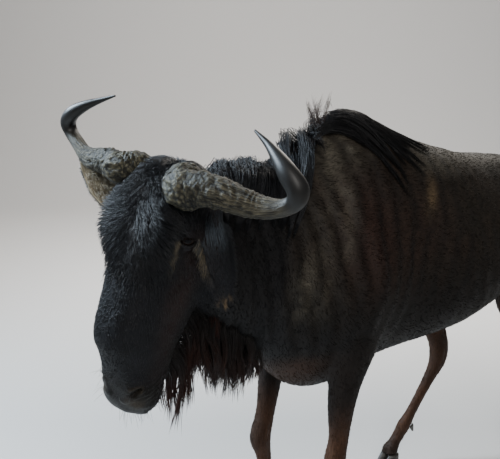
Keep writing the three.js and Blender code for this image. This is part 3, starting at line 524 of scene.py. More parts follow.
# A colour, by name or as three numbers, with others blended over it in turn
def layered(base, layers):
    for colour, share in layers:
        base = blend(np.asarray(base), coat[colour] if isinstance(colour, str) else colour, share)
    return base


nostrils = {
    # side, front, z, size
    "rows": [
        [16, 61, -498, 0.35], [26, 65, -498, 0.8], [37, 66, -492, 1.0], [48, 63, -480, 1.0],
        [58, 55, -466, 0.75], [64, 46, -454, 0.3],
    ],
    "radius": 8.5,
    "depth": 15,
    "rim": 3.2,
}


# Distance to the nearest of 40 samples of the nostril's curve, in its radii; 9 for all that isn't nose
def nostrilGap(local):
    gap = np.full(len(local), 9.0)
    close = (local[:, 2] < -420) & (local[:, 1] > 0)
    samples = rowsAt(nostrils["rows"], np.linspace(0, 1, 40))
    mirrored = np.column_stack([np.abs(local[close, 0]), local[close, 1:]])
    d = np.linalg.norm(mirrored[:, None] - samples[None, :, :3], axis=-1)
    gap[close] = (d / (samples[:, 3] * nostrils["radius"])).min(1)
    return gap


# Stripes are bands across y that lean and waver; the other marks are bells round their places
def markings(points, shares):
    x, y, z = points.T
    mottle, fine = noise(points, 55, 5), noise(points, 17, 6)
    lean = y - 0.22 * (z - 1000) + 26 * noise(points, 150, 8) + 9 * fine
    bands = (0.5 + 0.5 * np.cos(2 * np.pi * lean / stripeSpacing)) ** 1.5
    rust = bell((y + 470) / 75) * bell((z - 1090) / 130)
    rust = rust + 0.6 * bell((y + 250) / 110) * bell((z - 1090) / 100)
    withers = bell((y + 455) / 55) * bell((z - 1318) / 34)
    withers = withers + 0.5 * bell((y + 520) / 40) * bell((z - 1265) / 45)
    centre = -525 - 150 * ease(1270, 930, z)  # a pale band runs down and forward from the withers
    wide = 26 + 26 * ease(1100, 960, z)
    band = bell((y - centre) / wide) * span(z, 820, 900, 1260, 1330) * (0.5 + 0.5 * ease(1080, 960, z))
    second = bell((y + 505 + 0.3 * (1180 - z)) / 16) * span(z, 1000, 1080, 1200, 1260)
    flank = bell((y - 40) / 260) * bell((z - 1150) / 90)
    streak = bell((y + 190 + 0.5 * (1160 - z)) / 14) * bell((z - 1160) / 32)
    body = layered(coat["slate"], [
        ("brown", 0.45 + 0.4 * mottle),
        ("cheek", 0.5 * rust),
        ("pale", 0.95 * withers * (0.75 + 0.4 * fine)),
        ("pale", 0.8 * band * (0.8 + 0.5 * fine)),
        ("pale", 0.45 * second * (0.8 + 0.6 * fine)),
        ("pale", 0.16 * flank * (0.7 + 0.6 * mottle)),
        ("pale", 0.8 * ease(1190, 1260, z) * ease(-260, -120, y)),  # the back
        ("tan", 0.4 * streak),
        ("stripe", 0.62 * bands * ease(240, -120, y) * ease(640, 800, z) * (0.75 + 0.5 * mottle)),
        ("stripe", 0.85 * ease(1010, 820, z)),  # the belly
        ("leg", 0.5 * bell((y + 640) / 60) * ease(790, 730, z)),  # the brisket
        ("black", 0.75 * ease(-660, -760, y)),  # the neck, darker towards the head
        ("stripe", 0.7 * ease(-700, -860, y)),
        ("black", ease(-960, -1000, y)),
        ("stripe", 0.45 * bell(x / 26) * ease(1100, 1160, z)),  # along the spine
    ])
    limb = layered(coat["leg"], [
        ("shin", 0.6 + 0.5 * mottle),
        ("stripe", 0.9 * ease(470, 640, z) * ease(-200, -300, y)),  # upper forelegs
        ("brown", 0.8 * ease(560, 760, z) * ease(-100, 100, y)),  # thighs
        ("stripe", 0.6 * ease(150, 75, z)),  # above the hooves
    ])
    local = toHead(points)
    side, front, high = np.abs(local[:, 0]), local[:, 1], local[:, 2]
    cheek = bell((front + 8) / 26) * bell((high + 255) / 95) * ease(40, 60, side)
    underEye = bell((front - 63 - 0.12 * (high + 140)) / 8) * bell((high + 140) / 22) * ease(66, 80, side)
    pad = bell((high + 497) / 9) * bell((side - 50) / 13) * ease(20, 36, front)
    gap = nostrilGap(local)
    face = layered(coat["black"], [
        ("brown", (0.2 + 0.2 * mottle) * ease(60, 10, front) * ease(-50, -110, high)),
        ("cheek", 0.5 * cheek),
        ("straw", 0.36 * underEye * (0.6 + 1.2 * fine)),
        ("muzzle", ease(-430, -475, high) * ease(-30, 10, front)),
        ("nose", pad),
        ("nose", 0.6 * bell((gap - 1.5) / 0.4) * ease(-476, -462, high)),  # painted highlight along the nostril's upper rim
        # painted shade: half as dark as black inside the nostril's hollow
        (np.array(coat["black"]) / 2, ease(0.95, 0.6, gap)),
    ])
    tailHair = blend(np.array(coat["black"]), coat["slate"], ease(820, 1040, z))
    shades = [body, face, tailHair, limb]
    parts = [shares["trunk"], shares["head"], shares["tail"], onLegs(shares)]
    total = sum(shade * share[:, None] for shade, share in zip(shades, parts))
    return np.clip(total * (1 + 0.16 * fine[:, None]), 0.004, 1)


print("tables and markings ready")

# Materials


# Sets a node's inputs: a value, or a link from the output of another node
def feed(node, inputs):
    for name, value in inputs.items():
        if isinstance(value, bpy.types.NodeSocket):
            node.id_data.links.new(value, node.inputs[name])
        else:
            node.inputs[name].default_value = value
    return node


# A shader node with its settings and inputs
def shaderNode(tree, kind, inputs=None, **settings):
    node = tree.nodes.new("ShaderNode" + kind)
    for name, value in settings.items():
        setattr(node, name, value)
    return feed(node, inputs or {})


# A material and its shader
def newMaterial(name):
    material = bpy.data.materials.new(name)
    material.use_nodes = True
    return material, material.node_tree.nodes["Principled BSDF"]


# Values of the mesh, read by name
def attributeOf(tree, name):
    return shaderNode(tree, "Attribute", attribute_name=name).outputs


# Object coordinates of the piece
def objectPlace(tree):
    return shaderNode(tree, "TexCoord").outputs["Object"]


# A place multiplied by a scale along each axis
def stretched(tree, place, scale):
    return shaderNode(tree, "VectorMath", {0: place, 1: scale}, operation="MULTIPLY").outputs[0]


# A noise of stretched places
def grain(tree, place, scale, detail, distortion):
    inputs = {"Vector": stretched(tree, place, scale), "Scale": 1, "Detail": detail, "Distortion": distortion}
    return shaderNode(tree, "TexNoise", inputs).outputs


# Two values mixed: a + (b - a) factor
def mixed(tree, factor, a, b):
    return shaderNode(tree, "Mix", {"Factor": factor, "A": a, "B": b}).outputs["Result"]


# A colour multiplied by a value, as far as the factor says
def shaded(tree, factor, colour, value):
    inputs = {"Factor": factor, "A": colour, "B": value}
    return shaderNode(tree, "Mix", inputs, data_type="RGBA", blend_type="MULTIPLY").outputs["Result"]


# A value's range from one pair of numbers to another
def ranged(tree, value, start, end, low=0, high=1):
    inputs = {"Value": value, "From Min": low, "From Max": high, "To Min": start, "To Max": end}
    return shaderNode(tree, "MapRange", inputs).outputs[0]


# The normal bent by a height, in metres
def bumped(tree, height, strength, distance):
    inputs = {"Strength": strength, "Distance": distance, "Height": height}
    return shaderNode(tree, "Bump", inputs).outputs["Normal"]


# A group with one value in and one out
def newGroup(name, given, made):
    tree = bpy.data.node_groups.new(name, "ShaderNodeTree")
    tree.interface.new_socket(given, in_out="INPUT", socket_type="NodeSocketFloat")
    tree.interface.new_socket(made, in_out="OUTPUT", socket_type="NodeSocketFloat")
    return tree, tree.nodes.new("NodeGroupInput").outputs[given], tree.nodes.new("NodeGroupOutput")


# Roughness of hair: a middle value and a noise of up to 0.12 either way
def hairGrainGroup():
    tree, middle, end = newGroup("hairGrain", "Middle", "Roughness")
    strands = shaderNode(tree, "TexNoise", {"Vector": objectPlace(tree), "Scale": 160}).outputs["Fac"]
    varied = shaderNode(tree, "Math", {0: middle, 1: ranged(tree, strands, -0.12, 0.12)}).outputs[0]
    feed(end, {"Roughness": varied})
    return tree


hairGrain = hairGrainGroup()


# Skin under the hair: the coat's colour streaked by two noises, one stretched along the body and one down the
# limbs and face, mixed by how much of limb there is; bare and leathery on the nose
def skinMaterial():
    material, shader = newMaterial("skinCoat")
    tree = material.node_tree
    place = objectPlace(tree)
    limb, bare = attributeOf(tree, "limbShare")["Fac"], attributeOf(tree, "bareSkin")["Fac"]
    onBody, onLimb = (grain(tree, place, scale, 3, 0.6)["Fac"] for scale in [(330, 60, 210), (300, 300, 55)])
    hair = mixed(tree, limb, onBody, onLimb)
    pores = shaderNode(tree, "TexVoronoi", {"Vector": place, "Scale": 420}).outputs["Distance"]
    tone = ranged(tree, hair, 0.6, 1.3, 0.3, 0.7)
    feed(shader, {
        "Base Color": shaded(tree, 1, attributeOf(tree, "coatColour")["Color"], tone),
        "Normal": bumped(tree, mixed(tree, bare, hair, pores), 0.45, 0.002),
        "Roughness": ranged(tree, bare, 0.62, 0.46),
        "Specular IOR Level": 0.16,
    })
    return material


# Hair: the colour that its strands carry, with a grain in its roughness
def hairMaterial(name, roughness, specular):
    material, shader = newMaterial(name)
    tree = material.node_tree
    rough = shaderNode(tree, "Group", node_tree=hairGrain)
    feed(shader, {
        "Base Color": attributeOf(tree, "coatColour")["Color"],
        "Roughness": feed(rough, {"Middle": roughness}).outputs["Roughness"],
        "Specular IOR Level": specular,
    })
    return material


# Horn: wrinkles and cobbles on the boss run over into striations along the shaft; smooth and near black
# towards the tip. Height 0.41 to 0.61 shades the colour from 0.16 to 1.5, where the horn is rough
def hornMaterial():
    material, shader = newMaterial("hornKeratin")
    tree = material.node_tree
    place = attributeOf(tree, "hornPlace")["Vector"]
    rough, shaft = attributeOf(tree, "roughShare")["Fac"], attributeOf(tree, "shaftShare")["Fac"]
    wrinkles = grain(tree, place, (300, 150, 150), 6, 0.8)
    striations = grain(tree, place, (26, 300, 300), 5, 0.8)["Fac"]
    cells = stretched(tree, place, (170, 120, 120))
    shifted = shaderNode(tree, "VectorMath", {0: cells, 1: wrinkles["Color"]}).outputs[0]
    between = {"Factor": 0.55, "A": cells, "B": shifted}
    bent = shaderNode(tree, "Mix", between, data_type="VECTOR").outputs["Result"]
    cobbles = shaderNode(tree, "TexVoronoi", {"Vector": bent, "Scale": 1}).outputs["Distance"]
    boss = mixed(tree, 0.36, ranged(tree, cobbles, 0.76, 0.26, 0, 0.85), wrinkles["Fac"])
    height = mixed(tree, shaft, boss, striations)
    scaled = shaderNode(tree, "Math", {0: height, 1: rough}, operation="MULTIPLY").outputs[0]
    tone = ranged(tree, height, 0.16, 1.5, 0.41, 0.61)
    feed(shader, {
        "Base Color": shaded(tree, rough, attributeOf(tree, "coatColour")["Color"], tone),
        "Normal": bumped(tree, scaled, 1, 0.006),
        "Roughness": ranged(tree, rough, 0.46, 0.66),
        "Specular IOR Level": 0.26,
    })
    return material


# Hoof: dark horn with fine growth rings and scuffs
def hoofMaterial():
    material, shader = newMaterial("hoofKeratin")
    tree = material.node_tree
    rings = grain(tree, objectPlace(tree), (30, 30, 420), 4, 0)["Fac"]
    tone = shaderNode(tree, "ValToRGB", {"Fac": rings})
    tints = [(0.3, (0.012, 0.011, 0.010, 1)), (0.75, (0.060, 0.052, 0.044, 1))]
    for stop, (position, colour) in zip(tone.color_ramp.elements, tints):
        stop.position, stop.color = position, colour
    feed(shader, {
        "Base Color": tone.outputs["Color"],
        "Normal": bumped(tree, rings, 0.35, 0.001),
        "Roughness": ranged(tree, rings, 0.35, 0.6),
    })
    return material


# Eye: the eyeball's own colours under a wet gloss
def eyeMaterial():
    material, shader = newMaterial("wetEye")
    colour = attributeOf(material.node_tree, "coatColour")["Color"]
    feed(shader, {"Base Color": colour, "Roughness": 0.05, "Specular IOR Level": 0.14})
    return material


skinCoat = skinMaterial()
shortHair = hairMaterial("shortHair", 0.62, 0.11)
faceHair = hairMaterial("faceHair", 0.48, 0.34)
longHair = hairMaterial("longHair", 0.46, 0.24)
hornKeratin = hornMaterial()
hoofKeratin = hoofMaterial()
wetEye = eyeMaterial()
print("materials ready")

# Camera

view = {"place": (1482, -2017, 1513), "down": 11.63, "round": 48.5, "lens": 55.25, "sensor": 36}
cameraData = bpy.data.cameras.new("camera")
cameraData.lens = view["lens"]
cameraData.sensor_width = view["sensor"]
camera = linked("camera", cameraData)
camera.location = placed(np.array(view["place"], float))
camera.rotation_euler = (math.radians(90 - view["down"]), 0, math.radians(view["round"]))
bpy.context.scene.camera = camera

# One skin

skin = {
    "voxel": 9.9,
    "bodyDepth": 6,  # how deep the skin lies under the tips of the coat
    "faceDepth": 3,
    "legDepth": 3,
    "tailDepth": 1,
    # points along and round each loft
    "trunkGrid": (120, 90),
    "headGrid": (140, 80),
    "legGrid": (110, 36),
    "tailGrid": (60, 20),
    "smoothing": 5,
    "lastSmoothing": 4,
    "pulls": (0.55, -0.5),
}


# Places from 0 to 1 along a grid and angles round it
def alongAndRound(count, sides):
    return np.meshgrid(np.linspace(0, 1, count), around(sides), indexing="ij")


# Lofts of trunk, head, legs and tail, melted into one surface of small quads
def meltedBody():
    grids = [trunkPoint(*alongAndRound(*skin["trunkGrid"]), -skin["bodyDepth"])]
    grids.append(headSkin(*alongAndRound(*skin["headGrid"]), -skin["faceDepth"]))
    grids += [legGrid(rows, *skin["legGrid"], -skin["legDepth"]) for rows in legs.values()]
    grids.append(legGrid(tail, *skin["tailGrid"], -skin["tailDepth"], flatEnd=False))
    parts = [closedGrid(grid) for grid in grids]
    first = np.cumsum([0] + [len(part[0]) for part in parts])
    points, quads, tris = (
        np.concatenate([part[k] + (first[i] if k else 0) for i, part in enumerate(parts)]) for k in range(3)
    )
    rough = linked("melting", meshOf("melting", points, quads, tris))
    melt = rough.modifiers.new("melt", "REMESH")
    melt.mode = "VOXEL"
    melt.voxel_size = skin["voxel"]
    melted = bpy.data.meshes.new_from_object(rough.evaluated_get(bpy.context.evaluated_depsgraph_get()))
    bpy.data.objects.remove(rough)
    return melted


# The numbers that a mesh holds in one of its lists
def listOf(data, field, width, kind):
    flat = np.empty(len(data) * width, kind)
    data.foreach_get(field, flat)
    return flat.reshape(-1, width) if width > 1 else flat


# Places of a mesh's points
def pointsOf(mesh):
    return listOf(mesh.vertices, "co", 3, np.float32).astype(float)


# Normals at a mesh's points
def normalsOf(mesh):
    return listOf(mesh.vertex_normals, "vector", 3, np.float32).astype(float)


# Puts a mesh's points at new places
def setPoints(mesh, points):
    mesh.vertices.foreach_set("co", np.asarray(points, np.float32).ravel())
    mesh.update()


# Each point moves part of the way to the mean of its neighbours, then back a little so that nothing shrinks
def smoothed(mesh, points, rounds):
    a, b = listOf(mesh.edges, "vertices", 2, np.int32).T
    count = np.maximum(np.bincount(np.concatenate([a, b]), minlength=len(points)), 1)[:, None]
    for i in range(rounds):
        for pull in skin["pulls"]:
            sums = [
                np.bincount(a, points[b, k], len(points)) + np.bincount(b, points[a, k], len(points))
                for k in range(3)
            ]
            points = points + (np.stack(sums, -1) / count - points) * pull
    return points


# Quads of the chosen places split in four
def refine(mesh, chosen):
    work = bmesh.new()
    work.from_mesh(mesh)
    work.verts.ensure_lookup_table()
    edges = [e for e in work.edges if chosen[e.verts[0].index] and chosen[e.verts[1].index]]
    bmesh.ops.subdivide_edges(work, edges=edges, cuts=1, use_grid_fill=True)
    work.to_mesh(mesh)
    work.free()
    mesh.update()


# Unit vectors across the eye, up it and along its look, on the left side or with sign -1 on the right
def eyeAxes(sign=1):
    look = unit(np.array(eye["look"], float) * [sign, 1, 1])
    high = unit(np.array([0.0, 0, 1]) - look * look[2])
    return np.cross(high, look), high, look


# Side and height across the eye's look, and distance along it, for both eyes by mirroring the side
def eyeFrame(local):
    d = np.column_stack([np.abs(local[:, 0]), local[:, 1:]]) - np.array(eye["centre"], float)
    return [d @ axis for axis in eyeAxes()]


lids = {
    "halfLength": 19, "halfHeight": 8.6, "thickness": 3.8, "foldDepth": 2.6,
    "reach": (40, 52),  # where the lids run out into the face
    "rim": 1.2,
}


# Lids: in the opening the skin sinks behind the eyeball, and round it it lies on the ball, a lid's depth out
def raiseLids(local):
    a, b, c = eyeFrame(local)
    apart = np.hypot(a, b)
    near = (apart < lids["reach"][1]) & (c > -12)
    halfHeight = lids["halfHeight"] * np.sqrt(np.clip(1 - (a / 26) ** 2, 0.05, 1))
    openness = np.hypot(a / lids["halfLength"], b / halfHeight)
    ball = np.sqrt(np.clip(eye["radius"] ** 2 - apart**2, 0, None))
    lid = np.sqrt(np.clip((eye["radius"] + lids["thickness"]) ** 2 - apart**2, 0, None))
    raised = 0.5 * (c + lid + np.sqrt((c - lid) ** 2 + 12))  # a rounded greater of the two
    raised = raised - lids["foldDepth"] * bell((openness - 1.75) / 0.16) * ease(-2, 6, b)
    raised = raised - 0.7 * lids["foldDepth"] * bell((openness - 1.8) / 0.18) * ease(2, -6, b)
    raised = raised + lids["rim"] * bell((openness - 1.12) / 0.1)
    inside = ease(1.06, 0.94, openness)
    target = raised * (1 - inside) + (ball - 5) * inside
    change = np.where(near, (target - c) * ease(*lids["reach"][::-1], apart), 0)
    move = change[:, None] * eyeAxes()[2]
    move[:, 0] *= np.sign(local[:, 0])
    return local + move, near & (openness < 1.15)


mouth = {
    "bottom": -575, "top": -436, "frontAtBottom": 2, "frontAtTop": -22, "width": 3.2, "depth": 6, "lips": 3,
    "chin": 5,
}
nose = {"fuller": 3.5, "foldOver": 7, "leftDrop": 4}
relief = {
    "cheekCrest": 4.5, "cheekHollow": 4, "wrinkles": 0.9, "jawWrinkles": 1.1, "bridge": 2.0,
    "unevenness": 1.5,
}


# How far the head's skin moves along its normal: nostrils, mouth and lips, cheek crest, wrinkles and nose
def carveHead(local):
    side, front, high = np.abs(local[:, 0]), local[:, 1], local[:, 2]
    gap = nostrilGap(local)
    out = nostrils["rim"] * bell((gap - 1.5) / 0.35) - nostrils["depth"] * ease(1.05, 0.35, gap)
    share = np.clip((high - mouth["bottom"]) / (mouth["top"] - mouth["bottom"]), 0, 1)
    line = front - (mouth["frontAtBottom"] + share * (mouth["frontAtTop"] - mouth["frontAtBottom"]))
    along = ease(mouth["top"] + 14, mouth["top"] - 10, high)
    out -= mouth["depth"] * bell(line / mouth["width"]) * along
    out += mouth["lips"] * (bell((line - 11) / 6) + 0.8 * bell((line + 11) / 6)) * along
    out -= mouth["chin"] * ease(-14, -30, line) * along * ease(-545, -500, high)
    crest = bell((front - 8 + 0.12 * (high + 150)) / 9) * span(high, -330, -280, -165, -135)
    out += relief["cheekCrest"] * crest * ease(40, 60, side)
    out -= relief["cheekHollow"] * bell((front - 42) / 16) * bell((high + 250) / 60) * ease(30, 50, side)
    folds = np.sin(0.55 * (high + 0.5 * front) + 2 * noise(local, 30, 11))
    out += relief["wrinkles"] * folds * span(high, -500, -470, -430, -395) * ease(20, 45, side)
    folds = np.sin(0.42 * high + 0.2 * side + 3 * noise(local, 45, 12))
    out += relief["jawWrinkles"] * folds * bell((front + 30) / 26) * bell((high + 400) / 40)
    out += relief["bridge"] * bell((side - 62) / 12) * bell((high + 330) / 70) * ease(20, 60, front)
    out += relief["unevenness"] * noise(local, 34, 13) * ease(-420, -380, high)
    out += nose["fuller"] * (1 - local[:, 0] / 60) * ease(-486, -506, high) * ease(-10, 20, front)
    out -= nose["leftDrop"] * ease(8, 45, local[:, 0]) * ease(-500, -520, high)
    out += nose["foldOver"] * bell((high + 430) / 22) * ease(30, 62, front) * ease(60, 40, side)
    return out


muscles = {
    "neckFolds": 4.2, "neckSpacing": 58, "shoulderFolds": 2.6, "shoulderSpacing": 66, "blade": 7, "ribs": 1.5,
    "ribSpacing": 64, "flankFold": 6, "flankEdge": 5, "hip": 6, "elbow": 5, "unevenness": 1.6,
}


# How far the trunk's skin moves along its normal: folds of neck and shoulder, blade, ribs, flank, hip, elbow
def carveBody(points):
    x, y, z = points.T
    slant = y + 0.25 * (z - 1000) + 18 * noise(points, 120, 21)
    folds = np.sin(2 * np.pi * slant / muscles["neckSpacing"])
    out = muscles["neckFolds"] * folds * span(y, -980, -900, -560, -440) * span(z, 700, 840, 1140, 1240)
    slant = y - 0.1 * (z - 1000) + 14 * noise(points, 140, 22)
    folds = np.sin(2 * np.pi * slant / muscles["shoulderSpacing"])
    out += muscles["shoulderFolds"] * folds * span(y, -560, -500, -300, -180) * ease(720, 860, z)
    out += muscles["blade"] * bell((y + 452 + 0.16 * (z - 1000)) / 22) * span(z, 860, 960, 1200, 1290)
    ribs = np.sin(2 * np.pi * (y + 0.3 * (z - 900)) / muscles["ribSpacing"])
    out += muscles["ribs"] * ribs * span(y, -220, -120, 160, 260) * span(z, 740, 840, 1080, 1180)
    slant = y + 0.7 * (z - 880)
    out -= muscles["flankFold"] * bell((slant - 290) / 16) * bell((z - 880) / 90)
    out += muscles["flankEdge"] * bell((slant - 262) / 22) * bell((z - 860) / 80)
    out += muscles["hip"] * bell((y - 392) / 26) * bell((z - 1168) / 30)
    out -= muscles["elbow"] * bell((y + 300) / 20) * span(z, 640, 700, 800, 900)
    return out + muscles["unevenness"] * noise(points, 46, 23)


sinews = {
    "groove": 3.4, "frontGroove": 2.2, "joint": 2.5, "jointHollow": 3, "hock": 7, "cleft": 7, "pastern": 0.6,
}


# How far a leg's skin moves along its normal: tendon grooves of the cannon, joint, hock, cleft and pastern
def carveLeg(rows, points, normals, fore):
    x, y, z = points.T
    row = rowsAt(rows, stationOf(rows, z, 2)).T
    ahead, side = row[1] - y, np.abs(normals[:, 0])
    top, joint = (375, 425) if fore else (410, 455)
    cannon = ease(165, 205, z) * ease(top + 20, top - 25, z) * side
    out = -sinews["groove"] * bell((ahead + 8) / 5) * cannon
    out -= sinews["frontGroove"] * bell((ahead - 9) / 4) * cannon
    out += sinews["joint"] * bell((z - joint) / 20) * bell((ahead - 22) / 16)
    out -= sinews["jointHollow"] * bell((z - joint) / 26) * bell((ahead + 6) / 7) * side
    if not fore:
        out -= sinews["hock"] * span(z, 500, 540, 620, 680) * bell((ahead + 24) / 9) * side
    out -= sinews["cleft"] * ease(100, 70, z) * bell((x - row[0]) / 5) * ease(5, 20, np.abs(ahead))
    return out + sinews["pastern"] * np.sin(z / 4.5) * span(z, 75, 95, 130, 150)


# Smaller quads where the form is fine: head and lower legs, then muzzle and eyes, then the lids
skinMesh = meltedBody()
points = smoothed(skinMesh, pointsOf(skinMesh), skin["smoothing"])
setPoints(skinMesh, points)
side, front, high = toHead(points).T
inHead = (np.abs(side) < 125) & (front > -165) & (high < 20) & (high > -560)
inFeet = (points[:, 2] < 470) & (points[:, 1] < 700)
refine(skinMesh, inHead | inFeet)
local = toHead(pointsOf(skinMesh))
side, front, high = local.T
a, b, c = eyeFrame(local)
inMuzzle = (high < -430) & (high > -560) & (front > -75) & (np.abs(side) < 90)
refine(skinMesh, (np.hypot(a, b) < 40) & (c > -20) | inMuzzle)
a, b, c = eyeFrame(toHead(pointsOf(skinMesh)))
refine(skinMesh, (np.hypot(a, b) < 30) & (c > 0))
points = smoothed(skinMesh, pointsOf(skinMesh), skin["lastSmoothing"])
setPoints(skinMesh, points)
print("skin melted and refined:", len(points), "points")

normals = normalsOf(skinMesh)
shares = sharesOf(points, placesOn(points))
local = toHead(points)
out = carveHead(local) * shares["head"] * ease(60, 20, local[:, 2]) + carveBody(points) * shares["trunk"]
for name, rows in legs.items():
    out += carveLeg(rows, points, normals, name.startswith("fore")) * shares[name]
points = points + normals * out[:, None]
local = toHead(points)
raised, wet = raiseLids(local)
facing = np.abs(local[:, 0]) > 40
points = np.where(facing[:, None], fromHead(raised), points)
setPoints(skinMesh, points)
normals = normalsOf(skinMesh)
colours = markings(points, shares)
colours[wet & facing] = 0.006  # the wet inner rim of the lids
onHead = toHead(points)
bare = ease(-455, -480, onHead[:, 2]) * ease(0, 20, onHead[:, 1]) * shares["head"]
bare = np.maximum(bare, wet & facing)
print("folds, lids and nostrils carved")

# Ears, joined to the skin as closed leaves

ears = {
    "left": {"root": [96, -38, -58], "along": [0.27, -0.14, -0.95], "open": [-0.98, 0.05, -0.25]},
    "right": {"root": [-116, -13, -107], "along": [-0.855, 0.297, 0.426], "open": [0.463, 0.808, 0.365]},
}
earSize = {
    "length": 216, "half": 52, "wall": 6, "sunk": 0.12, "skew": 0.88, "fullness": 0.72,
    "rootHalf": 19, "rootWall": 10, "tipHalf": 2.5, "cup": 0.95, "steps": 44, "across": 22,
}


# Ear: v runs across and back, half leaf sin(pi (0.12 + 0.88 t)^skew)^fullness, bent into a cup by 1 - cos of
# the bend; also which layer and place along each point has, and the ear's front and side
def earGrid(place):
    axis = unit(wayFromHead(place["along"]))
    front = wayFromHead(place["open"])
    front = unit(front - axis * (front @ axis))
    side = np.cross(axis, front)
    steps, across = earSize["steps"], earSize["across"]
    t = np.linspace(0, 1, steps)[:, None]
    v = np.concatenate([np.linspace(1, -1, across), np.linspace(-1, 1, across)])[None]
    layer = np.repeat([0.0, 1.0], across)[None]
    leaf = np.sin(np.pi * np.minimum(0.12 + 0.88 * t, 1) ** earSize["skew"]).clip(0) ** earSize["fullness"]
    half = np.maximum(earSize["half"] * leaf, np.where(t < 0.3, earSize["rootHalf"], earSize["tipHalf"]))
    half = half * (1 + 0.05 * np.sin(19 * t + 2) * t)
    cup = earSize["cup"] - 0.55 * t
    wall = (earSize["wall"] + earSize["rootWall"] * ease(0.2, 0.0, t)) * (1 - 0.5 * t)
    wall = wall * (1 - 0.55 * np.abs(v) ** 3)
    sign = 1 - 2 * layer
    radius = half + sign * wall / 2 * np.abs(v) - 1.5
    depth = half * 0.9 * cup * (1 - np.cos(1.5 * v * cup)) - sign * wall / 2
    ridge = 1.2 * np.sin(v * 12) * layer * ease(0.1, 0.3, t) * (1 - t)
    grid = (
        fromHead(place["root"])
        + axis * ((t - earSize["sunk"]) * earSize["length"])[..., None]
        + side * (v * radius * (1 - 0.16 * cup * v * v))[..., None]
        + front * (depth + ridge)[..., None]
    )
    return grid, np.broadcast_to(layer, grid.shape[:2]), np.broadcast_to(t, grid.shape[:2]), front, side


# Ear: dark outside, pale inside with painted shade darkening the deep root of the cup, straw at the tip
def earColours(grid, layer, t, name):
    flat, inner, reach = grid.reshape(-1, 3), layer.ravel(), t.ravel()
    fine = noise(flat, 12, 31)
    pale = coat["cream"] if name == "right" else np.asarray(coat["straw"]) * 0.4
    return layered(np.asarray(coat["black"]) * 1.6, [
        ("brown", 0.5 + 0.5 * fine),
        (pale, inner * (0.72 + 0.35 * fine) * ease(0.12, 0.35, reach)),
        ("straw", ease(0.86, 0.97, reach) * 0.2),
        # painted shade in the deep root of the cup
        ("black", 0.8 * bell((reach - 0.16) / 0.16) * inner),
    ])


corners = listOf(skinMesh.loops, "vertex_index", 1, np.int32)
sizes = listOf(skinMesh.polygons, "loop_total", 1, np.int32)
starts = np.cumsum(sizes) - sizes
faceSets = [corners[starts[sizes == n][:, None] + np.arange(n)] for n in np.unique(sizes)]
skinTriangles = np.concatenate([f[:, [0, i, i + 1]] for f in faceSets for i in range(1, f.shape[1] - 1)])
allPoints, allColours, count = [points], [colours], len(points)
for name, place in ears.items():
    grid, layer, reach, front, across = earGrid(place)
    earPoints, quads, tris = closedGrid(grid)
    faceSets += [quads + count, tris + count]
    allPoints.append(earPoints)
    allColours.append(withHubs(earColours(grid, layer, reach, name)))
    count += len(earPoints)
extra = count - len(points)
mesh = meshOf("skin", placed(np.concatenate(allPoints)), *faceSets)
tint(mesh, np.concatenate(allColours))
measure(mesh, np.append(1 - shares["trunk"], np.ones(extra)), "limbShare")
measure(mesh, np.append(bare, np.zeros(extra)), "bareSkin")
objectOf("skin", mesh, skinCoat, "coat", "head", "neck", "torso", "tail", "ear_left", "ear_right", *legs)
print("skin and ears joined:", sum(len(f) * (f.shape[1] - 2) for f in faceSets), "triangles")

# Strands


# Solid strands: N paths of K points become K - 1 three-sided rings and a tip. across widens a ring, its third
# corner stands up by the thickness. Every strand is a patch of the unwrap at its root
def strandMesh(name, paths, widths, thick, face, rootUv, rootColour, tipColour, patch=0.003):
    n, k = paths.shape[:2]
    along = unit(np.gradient(paths, axis=1))
    face = unit(face - along * dot(face, along))
    across = np.cross(along, face)
    body, half = paths[:, :-1], across[:, :-1] * widths[:, :-1, None] / 2
    ring = np.stack([body + half, body - half, body + face[:, :-1] * thick[:, :-1, None]], 2)
    vertices = np.concatenate([ring.reshape(n, -1, 3), paths[:, -1:]], 1)
    per = vertices.shape[1]
    tris = [[0, 1, 2]]
    for i in range(k - 2):
        for j in range(3):
            a, b = 3 * i + j, 3 * i + (j + 1) % 3
            tris += [[a, a + 3, b], [b, a + 3, b + 3]]
    last = 3 * (k - 2)
    tris = np.array(tris + [[last + j, per - 1, last + (j + 1) % 3] for j in range(3)])
    corner = vertices[0][tris] - vertices[0].mean(0)
    if (corner[:, 0] * np.cross(corner[:, 1], corner[:, 2])).sum() < 0:
        tris = tris[:, ::-1]
    faces = (tris[None] + per * np.arange(n)[:, None, None]).reshape(-1, 3)
    mesh = meshOf(name, placed(vertices.reshape(-1, 3)), faces)
    level = np.append(np.repeat(np.linspace(0, 1, k)[:-1], 3), 1.0)
    shade = rootColour[:, None] + (tipColour - rootColour)[:, None] * (level**1.6)[None, :, None]
    tint(mesh, shade.reshape(-1, 3))
    u = np.append(np.tile([0.0, 1.0, 0.5], k - 1), 0.5)
    v = level * 0.8 + np.append(np.tile([0.0, 0.0, 0.2], k - 1), 0.2)
    uv = rootUv[:, None] + patch * (np.stack([u, v], -1) - 0.5)
    uv = np.clip(uv.reshape(-1, 2), 0, 1)
    layer = mesh.uv_layers.new(name="OFBake")
    layer.uv.foreach_set("vector", uv[faces.ravel()].astype(np.float32).ravel())
    return mesh


